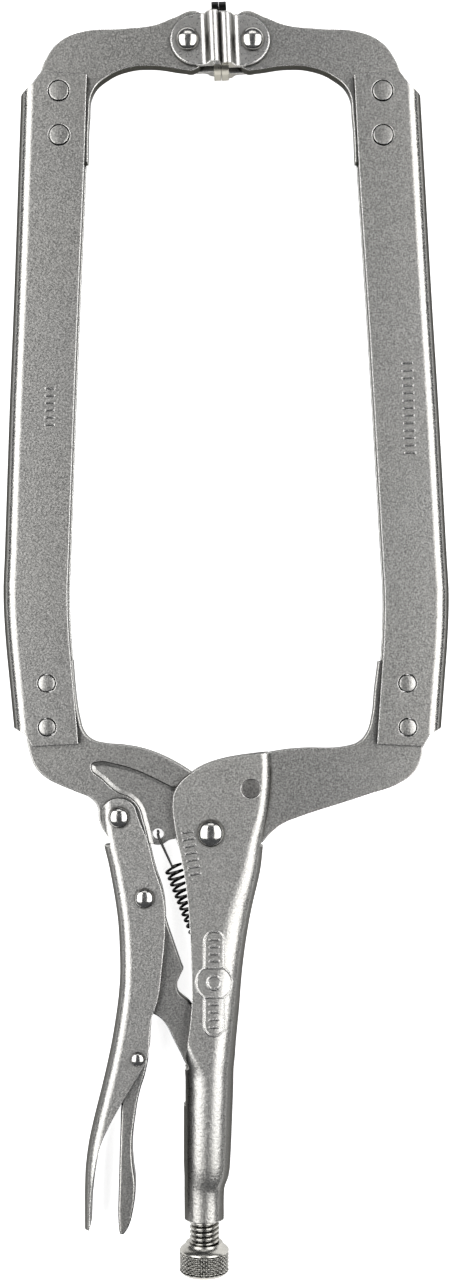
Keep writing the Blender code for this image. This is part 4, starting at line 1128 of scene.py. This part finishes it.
# ---- assembly
def show(piece, node, finish, body=None, sharp=35):
    """Puts a piece in its place in the frame, with its finish, on the body of the node that it replaces."""
    piece.name = f"{node}_detail"
    piece.data.name = piece.name
    piece.data.transform(Matrix.Translation(PIVOT))
    piece.data.materials.clear()
    piece.data.materials.append(finish)
    piece.data.shade_smooth()
    piece.data.set_sharp_from_angle(angle=math.radians(sharp))
    even = piece.modifiers.new("even_shading", "WEIGHTED_NORMAL")
    even.keep_sharp = True
    even.weight = 60
    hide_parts(node)
    if body is None:
        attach(piece, BODY_OF[node])
    return piece


def build_pieces():
    for side, word in ((LEFT, "movable"), (RIGHT, "fixed")):
        strokes = LEFT_ARM_STROKES if side == LEFT else RIGHT_ARM_STROKES
        show(draped(arm(side), row_of_strokes(*strokes)), f"{word}_arm", SATIN)
        show(jaw_tip(side), f"{word}_jaw_tip", SATIN)
        show(swivel_pad(side), f"{word}_pad", EAR)
        for name, x, y, radius in arm_rivet_places(side):
            show(pin_rivet(x, y, radius, ARM_HALF), name, SATIN)
        x = side_x(side, PAD_PIVOT_Y, PAD_PIVOT_HALF)
        ear = INNER_HALF + PAD_SHEET
        show(dome_rivet(x, PAD_PIVOT_Y, PAD_SHANK, 4.1, 2.6, ear), f"{word}_pad_rivet", POLISHED)
    show(movable_jaw_base(), "movable_jaw_base", SATIN_DARK, sharp=20)
    show(fixed_jaw_base(), "fixed_jaw_base", SATIN)
    show(draped(fixed_handle(), cartouche() + row_of_strokes(*HEAD_STROKES)), "fixed_handle", HANDLE)
    show(dome_rivet(0, 0, MAIN_SHANK, 4.8, 2.9, HEAD_HALF), "main_pivot_rivet", POLISHED)
    plug = pin_rivet(*JAW_LOCK_RIVET, JAW_LOCK_RADIUS + FIT_GAP, HEAD_HALF, PLUG_RISE)
    show(plug, "jaw_lock_rivet", DARK_PLUG)
    show(dome_rivet(*LEVER_PIVOT, LEVER_SHANK, 3.8, 2.4, LEVER_HALF), "lever_rivet", POLISHED)
    show(lever_handle(), "lever_handle", HANDLE)
    show(dome_rivet(*LINK_PIVOT, LINK_SHANK, 3.5, 2.2, LEVER_HALF + 0.55), "link_rivet", POLISHED)
    show(dome_rivet(*RELEASE_PIVOT, RELEASE_SHANK, 2.5, 1.6, LEVER_HALF + 1.5), "release_rivet", POLISHED)
    show(toggle_link(), "toggle_link", SATIN_DARK)
    show(release_lever(), "release_lever", SATIN)
    show(screw_tip(), "screw_tip", THREAD)
    show(adjusting_screw(), "adjusting_screw", THREAD, sharp=25)
    show(adjusting_knob(), "adjusting_knob", THREAD, sharp=25)
    spring = show(tension_spring(), "tension_spring", SPRING_STEEL, body="both")
    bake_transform(spring)


# ---- floor, lights and camera
VIEW_DISTANCE = 0.65
VIEW_HEIGHT = 0.4582  # of the whole picture, at the height that it is framed to
VIEW_MIDDLE = (0.00014, -0.00076)
FRAMED_HEIGHT = 5.0 * MM  # the upper faces, over the middle plane, which the picture is framed to
SENSOR = 36.0

FLOOR_SIZE = 3.0
FLOOR_DROP = 0.0002
FLOOR_GLOW = 0.8  # lights the paper evenly, so that it stays white
SIDE_BOX_PLACE = (0.84, 0.15, 0.99)
SIDE_BOX_SIZE = (1.02, 1.7)
SIDE_BOX_WATTS = 16.5
FAR_BOX_PLACE = (0.0, 1.25, 1.0)
FAR_BOX_SIZE = (0.9, 0.35)
FAR_BOX_WATTS = 1.6
ROOM_COLOUR = (0.9, 0.93, 1.0, 1)
ROOM_STRENGTH = 0.09


def add_floor():
    bpy.ops.mesh.primitive_plane_add(size=FLOOR_SIZE, location=(0, 0, -FLOOR_DROP))
    floor = bpy.context.object
    floor.name = "floor"
    paper = bpy.data.materials.new("pale_floor")
    paper.use_nodes = True
    shader = paper.node_tree.nodes["Principled BSDF"]
    shader.inputs["Base Color"].default_value = (0.93, 0.93, 0.93, 1)
    shader.inputs["Roughness"].default_value = 0.9
    shader.inputs["Emission Color"].default_value = (1, 1, 1, 1)
    shader.inputs["Emission Strength"].default_value = FLOOR_GLOW
    floor.data.materials.append(paper)


def add_softbox(name, place, size, power):
    """A soft lamp that faces the clamp."""
    lamp = bpy.data.lights.new(name, "AREA")
    lamp.shape = "RECTANGLE"
    lamp.size, lamp.size_y = size
    lamp.energy = power
    made = linked(lamp)
    made.location = place
    x, y, z = place
    made.rotation_euler = (0, math.atan2(x, z), 0) if x else (-math.atan2(y, z), 0, 0)


def add_lights():
    out, along, up = SIDE_BOX_PLACE
    for side, name in ((LEFT, "left"), (RIGHT, "right")):
        add_softbox(f"{name}_box", (side * out, along, up), SIDE_BOX_SIZE, SIDE_BOX_WATTS)
    add_softbox("far_box", FAR_BOX_PLACE, FAR_BOX_SIZE, FAR_BOX_WATTS)
    world = bpy.data.worlds.new("studio")
    bpy.context.scene.world = world
    world.use_nodes = True
    room = world.node_tree.nodes["Background"]
    room.inputs["Color"].default_value = ROOM_COLOUR
    room.inputs["Strength"].default_value = ROOM_STRENGTH


def add_camera():
    lens = bpy.data.cameras.new("camera")
    lens.sensor_fit = "VERTICAL"
    lens.sensor_height = SENSOR
    lens.lens = SENSOR * VIEW_DISTANCE / VIEW_HEIGHT
    lens.clip_start = 0.01
    made = linked(lens)
    made.location = (*VIEW_MIDDLE, PIVOT.z + FRAMED_HEIGHT + VIEW_DISTANCE)
    bpy.context.scene.camera = made
    bpy.context.scene.view_settings.view_transform = "Standard"


for leftover in list(bpy.data.objects):
    if leftover.type in {"LIGHT", "CAMERA"}:
        bpy.data.objects.remove(leftover, do_unlink=True)
build_pieces()
add_floor()
add_lights()
add_camera()
